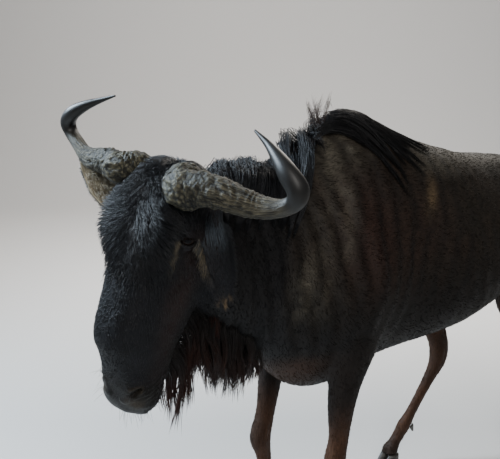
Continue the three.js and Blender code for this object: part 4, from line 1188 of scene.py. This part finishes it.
# Seeded places on the skin, by area times density, with their normal and the way the hair lies there
def rootsOn(density, count):
    corner = points[skinTriangles]
    area = np.linalg.norm(np.cross(corner[:, 1] - corner[:, 0], corner[:, 2] - corner[:, 0]), axis=-1) / 2
    chance = area * density[skinTriangles].mean(1)
    chosen = skinTriangles[rng.choice(len(chance), count, p=chance / chance.sum())]
    a, b = rng.random((2, count))
    flip = a + b > 1
    a, b = np.where(flip, 1 - a, a), np.where(flip, 1 - b, b)
    weights = np.stack([1 - a - b, a, b], -1)[..., None]
    root, normal = (points[chosen] * weights).sum(1), unit((normals[chosen] * weights).sum(1))
    found = placesOn(root)
    share = sharesOf(root, found)
    return root, normal, lieOf(root, normal, share), share, unwrapOf(found, share)


# Short tufts lie along the hair's way: root - sunk n, then s length along it, risen by lift sin(0.62 pi s)
def tufts(name, density, kind, count, slot, material, longer=None):
    root, normal, lie, share, uv = rootsOn(density, count)
    size = kind["length"] * (0.65 + 0.7 * rng.random(count))
    if longer is not None:
        size = size * longer(toHead(root)[:, 2])
    wide = kind["width"] * (0.7 + 0.6 * rng.random(count))
    aside = np.cross(normal, lie)
    swing = (rng.random(count) - 0.5)[:, None] * kind["swing"]
    way = unit(lie + aside * swing)
    rise = kind["lift"] * (0.5 + rng.random(count))
    s = np.linspace(0, 1, kind["steps"])
    lift = kind["sunk"] * ease(0, 0.4, s) + rise[:, None] * np.sin(np.pi * s * 0.62)
    paths = (
        root[:, None]
        - normal[:, None] * kind["sunk"]
        + way[:, None] * (size[:, None] * s)[..., None]
        + normal[:, None] * lift[..., None]
        - aside[:, None] * (swing * size[:, None] * 0.25 * s**2)[..., None]
    )
    widths = wide[:, None] * (1 - 0.35 * s)
    tone = (0.85 + 0.3 * rng.random(count))[:, None]
    shade = markings(root, share) * tone
    faces = np.repeat(normal[:, None], kind["steps"], 1)
    mesh = strandMesh(name, paths, widths, 0.45 * widths, faces, uv, shade, shade * kind["brighten"])
    objectOf(name, mesh, material, slot)


tuft = {"sunk": 2.0, "swing": 0.5, "steps": 3, "brighten": 1.12}
bodyTuft = {**tuft, "length": 15, "width": 1.7, "lift": 1.0}
legTuft = {**tuft, "length": 10, "width": 1.6, "lift": 0.8}
faceTuft = {**tuft, "length": 12, "width": 1.5, "lift": 1.0}
foreheadTuft = {**tuft, "length": 24, "width": 1.5, "lift": 5.5, "steps": 5, "brighten": 1.1}
# from y, to y, tufts
bodyParts = [(-1100, -330, 15000), (-330, 120, 11500), (120, 800, 10000)]


# Half as long on the muzzle as on the rest of the face
def faceLength(high):
    return 0.5 + 0.5 * ease(-460, -330, high)


# Longest under the bosses
def foreheadLength(high):
    return 0.8 + 0.8 * bell((high + 95) / 60)


for i, (low, high, count) in enumerate(bodyParts):
    part = shares["trunk"] * (points[:, 1] > low) * (points[:, 1] <= high) + 1e-9
    tufts(f"body_fur_{i + 1}", part, bodyTuft, count, "coat", shortHair)
tufts("leg_fur", onLegs(shares) + 1e-9, legTuft, 13000, "leg_coat", shortHair)
awayFromEye = 1 - (np.hypot(*eyeFrame(onHead)[:2]) < 26) * facing
hairy = shares["head"] * (1 - bare) * awayFromEye + 1e-9
tufts("face_fur", hairy, faceTuft, 16500, "face", faceHair, faceLength)
crown = ease(-250, -150, onHead[:, 2]) * ease(-30, 30, onHead[:, 1] + 90 * ease(-40, 10, onHead[:, 2]))
crown = hairy * crown * ease(104, 70, np.abs(onHead[:, 0])) + 1e-12
tufts("forehead_hair", crown, foreheadTuft, 7500, "face", faceHair, foreheadLength)
print("short fur laid")

# Long hair


# A value per lock, given to all its strands
def eachStrand(values, kind):
    return np.repeat(values, kind["strands"])


# A random value between low and high for each lock
def perLock(low, high, kind):
    return eachStrand(rng.uniform(low, high, kind["locks"]), kind)


# A random value between low and high for each strand
def perStrand(low, high, kind):
    return rng.uniform(low, high, kind["locks"] * kind["strands"])


# Evenly spaced values from the first lock to the last
def alongLocks(kind, start, end):
    return eachStrand(np.linspace(kind[start], kind[end], kind["locks"]), kind)


# Strands over the trunk: station and angle run from the root by drift s^1.2 and turn s^power, lifted by rise
# and settling to a last lift; the strands of a lock close up towards its tip
def drapedPaths(kind, station, angle, drift, turn, rise, power=1.5, settle=None):
    s = np.linspace(0, 1, kind["steps"])[None]
    closing = 1 - 0.75 * s
    spreadT = perStrand(-1, 1, kind)[:, None] * kind["spread"] / 1750  # the trunk's length
    spreadA = perStrand(-1, 1, kind)[:, None] * kind["spread"] / 200  # its girth's radius
    t = station[:, None] + spreadT * closing + drift[:, None] * s**1.2
    a = angle[:, None] + spreadA * closing + turn[:, None] * s**power
    loose = perStrand(0.7, 1.25, kind)[:, None]
    settle = (kind["settle"] if settle is None else settle[:, None]) * (0.5 + perStrand(0, 1, kind)[:, None])
    high = rise[:, None] * loose
    sunk, peak = 8, kind["peak"]
    lift = -sunk + (high + sunk) * ease(0, peak, s) + (settle - high) * ease(0.86 * peak, 1, s)
    wave = kind["wave"] * np.sin(s * 7 + perLock(0, 6, kind)[:, None]) * s
    normal = trunkNormal(t, a)
    return trunkPoint(t, a + wave / 200, -skin["bodyDepth"]) + normal * lift[..., None], normal


# Strands that leave a root and then hang: reach sin(1.1 pi s) out up to its peak, and length s^1.25 down
def hangingPaths(kind, root, leave, length, sway):
    s = np.linspace(0, 1, kind["steps"])[None, :, None]
    count = len(root)
    start = root + rng.normal(0, kind["spread"] / 2, (count, 3)) * [1, 1, 0.6]
    away = -kind["sunk"] + (kind["sunk"] + kind["reach"]) * np.sin(np.pi / 2 * np.minimum(1, 2.2 * s))
    fall = np.array([0, 0, -1.0]) * length[:, None, None] * s**1.25
    bundle = np.repeat(root[:: kind["strands"]], kind["strands"], 0)
    pull = (bundle - start)[:, None] * (0.85 * s**0.8)
    phase = perLock(0, 6, kind)[:, None, None]
    curl = np.concatenate([np.sin(6 * s + phase), np.cos(5 * s + phase), 0 * (s + phase)], -1)
    loose = rng.normal(0, kind["loose"], (count, 3))[:, None] * [1, 1, 0.3] * s**2
    drawn = pull + sway[:, None] * s**1.6 + kind["wave"] * s * curl
    return start[:, None] + leave[:, None] * away + fall + drawn + loose


# Level directions at the given angles
def levelWay(angle):
    return np.stack([np.cos(angle), np.sin(angle), 0 * angle], -1)


# Faces of a lock's strands, all turned to one random side
def turnedFaces(kind):
    return np.repeat(levelWay(perLock(0, 2 * np.pi, kind))[:, None], kind["steps"], 1)


# Widths (0.8 + 0.5 s - 0.95 s^3) of the kind's, and a tone for each strand
def layStrands(name, kind, paths, faces, slot):
    n, k = paths.shape[:2]
    s = np.linspace(0, 1, k)[None]
    wide = kind["width"] * rng.uniform(0.7, 1.3, (n, 1)) * (0.8 + 0.5 * s - 0.95 * s**3)
    tone = rng.uniform(0.6, 1.5, (n, 1))
    shades = [np.asarray(kind[end]) * tone for end in ("colour", "tip")]
    mesh = strandMesh(name, paths, wide, wide * 0.5, faces, unwrapAt(paths[:, 0]), *shades)
    objectOf(name, mesh, longHair, slot)


mane = {
    "locks": 110, "strands": 27, "steps": 9, "spread": 17, "width": 1.7, "settle": 8, "wave": 2,
    "from": 0.606, "to": 0.958, "turn": -50, "peak": 0.35,
    # station, height over the crest, drift towards the head
    "rows": [
        [0.56, 88, 0.16], [0.60, 66, 0.155], [0.65, 44, 0.125], [0.72, 24, 0.085], [0.76, 38, 0.075],
        [0.80, 68, 0.07], [0.88, 70, 0.05], [0.96, 36, 0.0],
    ],
    "colour": (0.0050, 0.0058, 0.0080), "tip": (0.0062, 0.0064, 0.0076),
}


# A column of the mane's rows at a station, straight from row to row
def maneValue(station, column):
    table = np.array(mane["rows"])
    return np.interp(station, table[:, 0], table[:, column])


station = np.linspace(mane["from"], mane["to"], mane["locks"]) + rng.normal(0, 0.003, mane["locks"])
station = eachStrand(station, mane)
angle = np.radians(perLock(80, 100, mane))
turn = np.radians(mane["turn"]) * perLock(0.75, 1.15, mane)
drift = maneValue(station, 2) * perLock(0.9, 1.1, mane)
rise = maneValue(station, 1) * perLock(0.9, 1.02, mane)
paths, faces = drapedPaths(mane, station, angle, drift, turn, rise)
layStrands("mane_hair", mane, paths, faces, "coat")

# Upright hair along the crest of the neck
crest = {
    "locks": 76, "strands": 26, "steps": 6, "spread": 16, "width": 1.7, "wave": 1, "peak": 0.95,
    "from": 0.60, "to": 0.957,
    "colour": (0.0050, 0.0055, 0.0070), "tip": (0.0085, 0.0075, 0.0075),
}
station = alongLocks(crest, "from", "to")
rise = maneValue(station, 1) * perLock(0.84, 0.94, crest)
turn = np.radians(perLock(-22, -10, crest))
drift = perLock(0.004, 0.012, crest)
angle = np.radians(perLock(84, 98, crest))
paths, faces = drapedPaths(crest, station, angle, drift, turn, rise, 1.4, rise)
layStrands("crest_hair", crest, paths, faces, "coat")

# Each lock leaves the crest at a root station and sweeps back and down to a tip, the long ones all the way
withers = {
    "locks": 76, "strands": 32, "steps": 10, "spread": 16, "width": 1.7, "settle": 5, "wave": 3, "long": 9,
    "peak": 0.35, "root": (0.608, 0.50), "tipStation": (0.505, 0.418), "tipAngle": (42, 62),
    "colour": (0.0042, 0.0042, 0.0050), "tip": (0.0045, 0.0042, 0.0042),
}
locks = withers["locks"]
sweepBack = rng.random(locks)
sweepBack[: withers["long"]] = np.linspace(0, 1, withers["long"])
reach = np.where(np.arange(locks) < withers["long"], 1.08, rng.uniform(0.5, 0.92, locks))
rootStation = withers["root"][0] + np.ptp(withers["root"]) * -(0.35 * sweepBack + 0.65 * rng.random(locks))
tipStation = np.interp(sweepBack, (0, 1), withers["tipStation"])
tipAngle = np.interp(sweepBack, (0, 1), withers["tipAngle"])
paths, faces = drapedPaths(
    withers,
    eachStrand(rootStation, withers),
    np.radians(perLock(84, 98, withers)),
    eachStrand((tipStation - rootStation) * reach, withers),
    np.radians(eachStrand((tipAngle - 91) * reach, withers)),
    perLock(8, 26, withers),
    1.75,
)
layStrands("withers_hair", withers, paths, faces, "coat")

wisps = {
    "locks": 7, "strands": 16, "steps": 7, "spread": 10, "width": 1.1, "wave": 6, "peak": 0.8,
    "colour": (0.013, 0.008, 0.0065), "tip": (0.050, 0.027, 0.018),
}
paths, faces = drapedPaths(
    wisps,
    perLock(0.575, 0.612, wisps),
    np.radians(perLock(84, 98, wisps)),
    perLock(-0.03, 0.002, wisps),
    np.radians(perLock(-12, 4, wisps)),
    perLock(50, 74, wisps),
    1.2,
    perLock(46, 84, wisps),
)
layStrands("wither_wisps", wisps, paths, faces, "coat")

throat = {
    "locks": 74, "strands": 24, "steps": 8, "spread": 13, "width": 1.8, "wave": 7, "loose": 5, "sunk": 6,
    "reach": 16, "from": 0.79, "to": 0.958, "length": 150,
    "colour": (0.0075, 0.0068, 0.0066), "tip": (0.022, 0.009, 0.006),
}
station = alongLocks(throat, "from", "to")
angle = np.radians(-90 + perLock(-24, 24, throat))
root, leave = trunkPoint(station, angle, -skin["bodyDepth"]), trunkNormal(station, angle)
length = throat["length"] * (0.45 + 0.55 * ease(0.79, 0.87, station))
length = length * perLock(0.7, 1.15, throat) * perStrand(0.8, 1.05, throat)
sway = np.stack([perLock(-12, 12, throat), perLock(-4, 26, throat), 0 * station], -1)
paths = hangingPaths(throat, root, leave, length, sway)
layStrands("throat_fringe", throat, paths, turnedFaces(throat), "coat")

beard = {
    "locks": 62, "strands": 28, "steps": 8, "spread": 13, "width": 1.9, "wave": 6, "loose": 6, "sunk": 6,
    "reach": 20, "from": -190, "to": -432, "length": 160,
    "colour": (0.0075, 0.0068, 0.0066), "tip": (0.030, 0.0105, 0.007),
}
high = alongLocks(beard, "from", "to")
station = stationOf(head["rows"], high)
angle = np.radians(-90 + perLock(-34, 34, beard))
root = headSkin(station, angle, -skin["faceDepth"])
leave = unit(root - headSkin(station, angle + np.pi, -skin["faceDepth"]))
length = beard["length"] * perLock(0.65, 1.1, beard) * perStrand(0.8, 1.05, beard)
length = length * (0.8 + 0.3 * bell((high + 385) / 42))
sway = np.stack([perLock(-14, 8, beard), perLock(-22, 14, beard), 0 * station], -1)
paths = hangingPaths(beard, root, leave, length, sway)
layStrands("beard_hair", beard, paths, turnedFaces(beard), "face")

tailTuft = {
    "locks": 56, "strands": 24, "steps": 9, "spread": 6, "width": 2.8, "wave": 9, "loose": 8, "sunk": 4,
    "reach": 12, "top": 880, "low": 590, "lowest": 336, "length": 270,
    "colour": (0.008, 0.008, 0.009), "tip": (0.014, 0.011, 0.010),
}
high = alongLocks(tailTuft, "top", "low")
row = rowsAt(tail, stationOf(tail, high, 2))
turned = perLock(0, 2 * np.pi, tailTuft) + perStrand(-0.5, 0.5, tailTuft)
root = row[:, :3] + levelWay(turned) * (row[:, 3:4] - 2)
length = np.minimum(tailTuft["length"] * perLock(0.8, 1.2, tailTuft), high - tailTuft["lowest"])
length = length * perStrand(0.8, 1.0, tailTuft)
sway = np.stack([perLock(-14, 14, tailTuft), perLock(-14, 14, tailTuft), 0 * high], -1)
paths = hangingPaths(tailTuft, root, levelWay(turned), length, sway)
faces = np.repeat(levelWay(turned + np.pi / 2)[:, None], tailTuft["steps"], 1)
layStrands("tail_tuft", tailTuft, paths, faces, "tail_hair")

earHair = {
    # strands, first and last place along the ear, length, length on the near ear, width, lift, lean, spread
    "back": (2300, 0.04, 0.93, 9, 20, 1.6, 1.2, 0.1, 0.14),
    "inside": (900, 0.02, 0.75, 20, 20, 1.2, 3, -0.15, 0.14),
    "margin": (1100, 0.2, 0.93, 6, 30, 1.4, 4, 0.55, 0.28),
    "tip": (120, 0.9, 1.0, 12, 24, 1.3, 2, 0.0, 0.14),
}
nearMarginLean = 0.9
paintedEarHighlight = (0.12, 0.145, 0.17)  # painted highlight: bluish grey on the back of the near ear, in place of the sheen of light on its hair


# Ear hair: a strand's root is a place in the ear's grid; it runs along the ear, off its skin and margin
def earStrands(side, place):
    grid, layer, reach, front, across = earGrid(place)
    half = grid.shape[1] // 2
    near = side == "left"
    strands = []
    for name, (count, low, high, length, nearLength, width, lift, lean, spread) in earHair.items():
        t = rng.uniform(low, high, count)
        v = rng.uniform(-0.97, 0.97, count)
        inner, edge = name == "inside", name == "margin"
        if edge:
            v = np.sign(v) * rng.uniform(0.82, 1.0, count)
        column = half + (v + 1) / 2 * (half - 1) if inner else (1 - v) / 2 * (half - 1)
        row = t * (grid.shape[0] - 1)
        i = np.minimum(row.astype(int), grid.shape[0] - 2)
        j = np.minimum(column.astype(int), grid.shape[1] - 2)
        f, g = (row - i)[:, None], (column - j)[:, None]
        left, right = (grid[i, k] * (1 - f) + grid[i + 1, k] * f for k in (j, j + 1))
        root = left * (1 - g) + right * g
        along = unit(grid[i + 1, j] - grid[i, j])
        out = unit(np.cross(grid[i, j + 1] - grid[i, j], along))
        out = out * np.sign(out @ front)[:, None] * (1 if inner else -1)
        aside = across * np.sign(v)[:, None]
        lean = nearMarginLean if near and edge else lean
        way = unit(along + aside * (lean + rng.normal(0, spread, (count, 1))))
        size = (nearLength if near else length) * rng.uniform(0.7, 1.3, (count, 1, 1))
        size = size * (1.2 - 0.4 * t[:, None, None])
        s = np.linspace(0, 1, 4)[None, :, None]
        lifted = lift * rng.uniform(0.4, 1.2, (count, 1, 1)) * np.sin(np.pi * 0.6 * s) - 1.2 * (1 - s)
        path = root[:, None] + way[:, None] * size * s + out[:, None] * lifted
        wide = np.broadcast_to(width * (1 - 0.4 * s[..., 0]), (count, 4)) * rng.uniform(0.7, 1.3, (count, 1))
        pale, share = "straw", np.zeros(count)
        if inner:
            pale, share = ("tan" if near else "cream"), rng.uniform(0.4, 0.9, count)
        if edge:
            share = span(t, 0.2, 0.33, 0.5, 0.74) * (v < 0) * rng.uniform(0.0, 1.0, count) ** 1.5
        shade = layered(np.asarray(coat["black"]) * 1.5, [(pale, share)])
        # Painted highlight: bluish grey laid into the hair colour on the back of the near ear, standing in
        # for the sheen of light there
        if near and not inner:
            highlightShare = bell((t - 0.26) / 0.09) * bell((v + 0.1) / 0.55) * rng.uniform(0.2, 1.0, count)
            shade = blend(shade, paintedEarHighlight, highlightShare)
        shade = blend(shade, coat["tan"], 0.55 * ease(0.88, 0.97, t)) * rng.uniform(0.7, 1.3, (count, 1))
        strands.append((path, wide, np.repeat(out[:, None], 4, 1), root, shade))
    paths, widths, faces, roots, shades = map(np.concatenate, zip(*strands))
    name, uv = f"ear_hair_{side}", unwrapAt(roots)
    mesh = strandMesh(name, paths, widths, 0.45 * widths, faces, uv, shades, shades * 1.15)
    objectOf(name, mesh, faceHair, "ear")


for side, place in ears.items():
    earStrands(side, place)

lash = {"count": 34, "length": 15, "width": 0.9, "fall": 0.55, "colour": (0.006, 0.005, 0.005)}
whisker = {"count": 90, "length": 30, "width": 0.7, "fall": 0.25, "colour": (0.010, 0.008, 0.008)}
hairSteps = np.linspace(0, 1, 6)[None, :, None]


# Single hairs: root + s length along the way, and fall s^2 of the length down
def singleHairs(kind, root, way, size):
    drop = np.array([0, 0, 1.0]) * size * kind["fall"] * hairSteps**2
    return root[:, None] + way[:, None] * size * hairSteps - drop


# Lashes: roots along the upper lid's edge, curving out and down from it
def lashPaths(sign):
    wide, high, look = eyeAxes()
    a = np.linspace(-15, 14, lash["count"]) + rng.normal(0, 0.6, lash["count"])
    b = lids["halfHeight"] * np.sqrt(1 - (a / 20) ** 2) + 1.0
    c = np.sqrt(np.clip((eye["radius"] + lids["thickness"]) ** 2 - a**2 - b**2, 0, None)) - 1.0
    size = lash["length"] * rng.uniform(0.7, 1.15, (lash["count"], 1, 1))
    root = np.array(eye["centre"], float) + a[:, None] * wide + b[:, None] * high + c[:, None] * look
    out = unit(look + wide * (a / 26)[:, None] + high * 0.25)
    return fromHead(singleHairs(lash, root, out, size) * [sign, 1, 1])


chin = ease(-425, -450, onHead[:, 2]) * ease(-60, 0, onHead[:, 1]) * shares["head"]
root, normal, lie, share, uv = rootsOn(chin + 1e-12, whisker["count"])
size = whisker["length"] * rng.uniform(0.5, 1.2, (whisker["count"], 1, 1))
way = unit(normal + 0.5 * lie + rng.normal(0, 0.15, (whisker["count"], 3)))
kinds = [whisker, lash, lash]
hairs = [singleHairs(whisker, root - normal, way, size)] + [lashPaths(sign) for sign in (1, -1)]
wide = [np.full((len(h), 6), kind["width"]) * (1 - 0.6 * hairSteps[..., 0]) for h, kind in zip(hairs, kinds)]
shade = np.concatenate([np.tile(kind["colour"], (len(h), 1)) for h, kind in zip(hairs, kinds)])
hairs, wide = np.concatenate(hairs), np.concatenate(wide)
faces = np.tile(np.array([0.3, 0.2, 1.0]), (*hairs.shape[:2], 1))
mesh = strandMesh("lashes_whiskers", hairs, wide, 0.6 * wide, faces, unwrapAt(hairs[:, 0]), shade, shade)
objectOf("lashes_whiskers", mesh, faceHair, "face")
print("long hair laid")

# Horns

horn = {
    # x, front, z, half height, half depth
    "rows": [
        [44, 42, -6, 30, 30], [67, 48, 0, 42, 42], [88, 62, -4, 45, 46], [107, 73, -5, 41, 42],
        [141, 72, 3, 38, 36], [188, 63, 6, 33, 31], [233, 51, 2, 29, 26], [276, 38, 1, 23, 24],
        [316, 32, 11, 18, 23], [344, 35, 30, 18, 22], [350, 44, 53, 22, 23], [327, 52, 77, 21, 20],
        [293, 47, 100, 15, 15], [254, 38, 120, 8.5, 8], [212, 32, 138, 2.5, 2.5],
    ],
    "fullness": {"left": 1.0, "right": 0.85},
    "rightLift": -14,
    "rightSpread": 0.99,
    "steps": 330,
    "sides": 104,
    "ridgeSpacing": 17,
    "boss": (0.048, 0.044, 0.028),
    "shaft": (0.074, 0.066, 0.044),
    "tip": (0.0095, 0.0092, 0.0088),
}


# Horn: ellipses square to the path, with knobs and cross ridges that fade from the boss to the tip. Also its
# colours, how rough and how much of the shaft each point is, and its place along and about the path in metres
def hornGrid(side, sign):
    t = np.linspace(0, 1, horn["steps"])
    rows = rowsAt(horn["rows"], t)
    centre = rows[:, :3] * [1, -1, 1]
    along = unit(np.gradient(centre, axis=0))
    depth = unit(np.array([0.0, 1, 0]) - along * along[:, 1:2])
    height = np.cross(along, depth)
    angle = around(horn["sides"])
    c, s = np.cos(angle), np.sin(angle)
    full = horn["fullness"][side]
    ring = centre[:, None] + depth[:, None] * (c * rows[:, 4:5] * full)[..., None]
    ring = ring + height[:, None] * (s * rows[:, 3:4] * full)[..., None]
    way = unit(ring - centre[:, None])
    flat = ring.reshape(-1, 3)
    far = np.repeat(t, horn["sides"])
    travel = np.cumsum(np.append(0, np.linalg.norm(np.diff(centre, axis=0), axis=1)))
    about = ((rows[:, 3] + rows[:, 4]) / 2)[:, None]
    own = np.stack(np.broadcast_arrays(travel[:, None], about * c, about * s), -1).reshape(-1, 3)
    rugged, onShaft = ease(0.5, 0.26, far), ease(0.24, 0.4, far) * ease(0.62, 0.5, far)
    cracks = 1.6 * noise(own / [5, 11, 11], 1, 41) + 1.1 * noise(own / [3.0, 5.5, 5.5], 1, 42)
    knobs = 1.6 * noise(flat, 21, 43) + 2.4 * noise(own / [9, 10, 10], 1, 47) + 3.0 * ease(0.27, 0.22, far)
    lines = 1.1 * noise(own / [60, 5.5, 5.5], 1, 48) + 0.6 * noise(own / [28, 3.4, 3.4], 1, 49)
    wave = own[:, 0] / horn["ridgeSpacing"] + 1.3 * noise(flat, 30, 44)
    ridges = 0.9 * np.sin(2 * np.pi * wave) * span(far, 0.22, 0.34, 0.42, 0.56)
    out = (cracks + knobs) * rugged + lines * onShaft + ridges - 1.6 * rugged - 0.8
    out = out * ease(1.0, 0.9, far)
    ring = ring + way * out.reshape(horn["steps"], -1)[..., None]
    if sign < 0:
        before = 1 - ease(0.5, 0.62, t)[:, None]
        ring[..., 2] += horn["rightLift"] * bell((ring[..., 0] - 220) / 60) * before
        ring[..., 0] *= -horn["rightSpread"]
    shade = layered(horn["boss"], [(horn["shaft"], ease(0.26, 0.46, far))])
    shade = shade * (0.82 + 0.25 * noise(flat, 26, 46) + 0.13 * (out + 1.5 * rugged))[:, None].clip(0.3, 1.5)
    shade = blend(shade, horn["tip"], ease(0.52, 0.66, far + 0.03 * noise(flat, 18, 50)))
    rough, shaft = np.maximum(ease(0.66, 0.5, far), 0.04), ease(0.24, 0.42, far)
    return fromHead(ring * [1, -1, 1]), shade, rough, shaft, own * 0.001


for side, sign in [("left", 1), ("right", -1)]:
    grid, shade, rough, shaft, own = hornGrid(side, sign)
    hornPoints, quads, tris = closedGrid(grid)
    mesh = meshOf(f"horn_{side}_keratin", placed(hornPoints), quads, tris)
    tint(mesh, withHubs(shade))
    measure(mesh, withHubs(rough), "roughShare")
    measure(mesh, withHubs(shaft), "shaftShare")
    measure(mesh, withHubs(own), "hornPlace", "FLOAT_VECTOR")
    objectOf(f"horn_{side}_keratin", mesh, hornKeratin, "horn", f"horn_{side}")
print("horns made")

# Eyes

eyeball = {
    "inset": 0.4, "bulge": 1.6, "bulgeAngle": 0.42, "irisAngle": (0.74, 0.68), "pupil": (0.36, 0.17),
    "white": (0.006, 0.0045, 0.004), "iris": (0.010, 0.005, 0.003), "black": (0.002, 0.002, 0.003),
    "rings": 60, "sides": 72,
}


# Eyeball: a sphere with a clear bulge over the iris and a level pupil; colours by the angle from the look
def eyeballGrid(sign):
    wide, high, look = eyeAxes(sign)
    stops = np.linspace(0.02, np.pi - 0.02, eyeball["rings"])
    theta, phi = np.meshgrid(stops, around(eyeball["sides"]), indexing="ij")
    radius = eye["radius"] - eyeball["inset"] + eyeball["bulge"] * bell(theta / eyeball["bulgeAngle"])
    x, y, z = np.sin(theta) * np.cos(phi), np.sin(theta) * np.sin(phi), np.cos(theta)
    way = x[..., None] * wide + y[..., None] * high + z[..., None] * look
    local = np.array(eye["centre"], float) * [sign, 1, 1] + radius[..., None] * way
    a, r = theta.ravel(), phi.ravel()
    across, up = eyeball["pupil"]
    pupil = ease(1.08, 0.95, np.hypot(x.ravel() / across, y.ravel() / up)) * (a < 1)
    streak = 0.8 + 0.4 * np.sin(r * 37) * np.sin(r * 23 + 1)
    iris = ease(*eyeball["irisAngle"], a) * streak
    return fromHead(local), layered(eyeball["white"], [(eyeball["iris"], iris), (eyeball["black"], pupil)])


for side, sign in [("left", 1), ("right", -1)]:
    grid, shade = eyeballGrid(sign)
    eyePoints, quads, tris = closedGrid(grid)
    mesh = meshOf(f"eyeball_{side}", placed(eyePoints), quads, tris)
    tint(mesh, withHubs(shade))
    objectOf(f"eyeball_{side}", mesh, wetEye, "eye", f"eye_{side}")
print("eyes set")

# Hooves

hoof = {
    # z, middle, half length, half width, fullness
    "rows": [
        [0, 20, 44, 16.5, 2.4], [12, 18, 44, 17.5, 2.4], [32, 11, 38, 17.5, 2.3], [50, 4, 31, 16.5, 2.2],
        [coronetHeight, -1, 26, 15, 2.2],
    ],
    "spread": 19,
    "cleftSide": -13.6,
    "heading": 4,
    "rings": 0.35,
    "sides": 48,
    "steps": 30,
}


# Claw: upright superellipses that narrow to the toe, flat on the side of the cleft, with growth rings
def clawGrid(foot, sign, heading):
    z, middle, half, wide, fullness = rowsAt(hoof["rows"], np.linspace(0, 1, hoof["steps"])).T[:, :, None]
    angle = around(hoof["sides"])[None]
    c, s = fullCurve(angle, fullness)
    point = np.where(s > 0, 1 - 0.45 * s * s, 1 - 0.1 * s * s)
    rings = hoof["rings"] * np.sin(z * 1.1 + 0.5 * np.cos(angle)) * ease(0, 6, z)
    x = np.maximum(c * (wide - 0.3 + rings) * point * sign, hoof["cleftSide"]) * sign
    y = -(middle + s * (half - 0.4 + rings))
    local = np.stack(np.broadcast_arrays(sign * hoof["spread"] + x, y, z + 0 * x), -1)
    turn = np.array(Matrix.Rotation(math.radians(heading), 3, "Z"))
    return local @ turn.T + [foot[0], foot[1], 0]


for name, rows in legs.items():
    outer = 1 if name.endswith("left") else -1
    for side, sign in [("outer", outer), ("inner", -outer)]:
        clawPoints, quads, tris = closedGrid(clawGrid(rows[-1], sign, outer * hoof["heading"]))
        mesh = meshOf(f"{name}_hoof_{side}", placed(clawPoints), quads, tris)
        objectOf(f"{name}_hoof_{side}", mesh, hoofKeratin, "hoof", f"{name}_claw_{side}")
        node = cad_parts[f"{name}_dewclaw_{side}"]
        node.data.materials.clear()
        node.data.materials.append(hoofKeratin)
print("hooves made")

# Floor and light

studio = {
    "flat": 6200, "curve": 5200, "wall": 26000, "near": -60000, "halfWidth": 60000,
    "floor": (0.52, 0.508, 0.49, 1), "roughness": 0.85, "air": (0.72, 0.75, 0.80, 1), "airStrength": 0.26,
}


# The floor runs on as a smooth sweep behind the animal: flat, then a quarter circle, then a wall
def sweep():
    bow = np.radians(np.linspace(0, 90, 40))
    end = studio["flat"] + studio["curve"]
    far = np.concatenate([[studio["near"]], studio["flat"] + studio["curve"] * np.sin(bow), [end]])
    high = np.concatenate([[0], studio["curve"] * (1 - np.cos(bow)), [studio["wall"]]])
    turn = math.radians(view["round"])
    ahead = np.array([-math.sin(turn), math.cos(turn), 0])
    beside = np.array([ahead[1], -ahead[0], 0]) * studio["halfWidth"]
    line = far[:, None] * ahead + high[:, None] * [0, 0, 1]
    i, count = np.arange(len(line) - 1), len(line)
    quads = np.stack([i, i + count, i + count + 1, i + 1], -1)
    return meshOf("floor", np.concatenate([line - beside, line + beside]) * 0.001, quads)


floor = linked("floor", sweep())
paint, shader = newMaterial("paleFloor")
feed(shader, {"Base Color": studio["floor"], "Roughness": studio["roughness"]})
floor.data.materials.append(paint)
floor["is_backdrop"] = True

world = bpy.data.worlds.new("studio")
bpy.context.scene.world = world
world.use_nodes = True
feed(world.node_tree.nodes["Background"], {"Color": studio["air"], "Strength": studio["airStrength"]})

lamps = {
    # place, target, size, power, colour
    "key": ((2700, -2500, 3300), (0, -500, 900), 2.0, 115, (1.0, 0.97, 0.93)),
    "sky": ((-2050, -2150, 2850), (120, -1000, 1220), 1.0, 330, (0.72, 0.86, 1.0)),
    "rim": ((-1500, 2300, 3300), (0, -200, 1100), 1.6, 100, (1.0, 0.94, 0.86)),
    "wash": ((-1400, 1300, 4600), (-7600, 6700, 2400), 4.0, 900, (1.0, 0.98, 0.96)),
}
for name, (place, target, size, power, colour) in lamps.items():
    data = bpy.data.lights.new(name, "AREA")
    data.shape, data.size, data.energy, data.color = "DISK", size, power, colour
    lamp = linked(name, data)
    start, end = placed(np.array(place, float)), placed(np.array(target, float))
    lamp.location = start
    lamp.rotation_mode = "QUATERNION"
    lamp.rotation_quaternion = Vector(end - start).to_track_quat("-Z", "Y")
print("floor and light set")

sizes = {"cad": cadBox, "visual": [list(map(float, corner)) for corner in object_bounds()]}
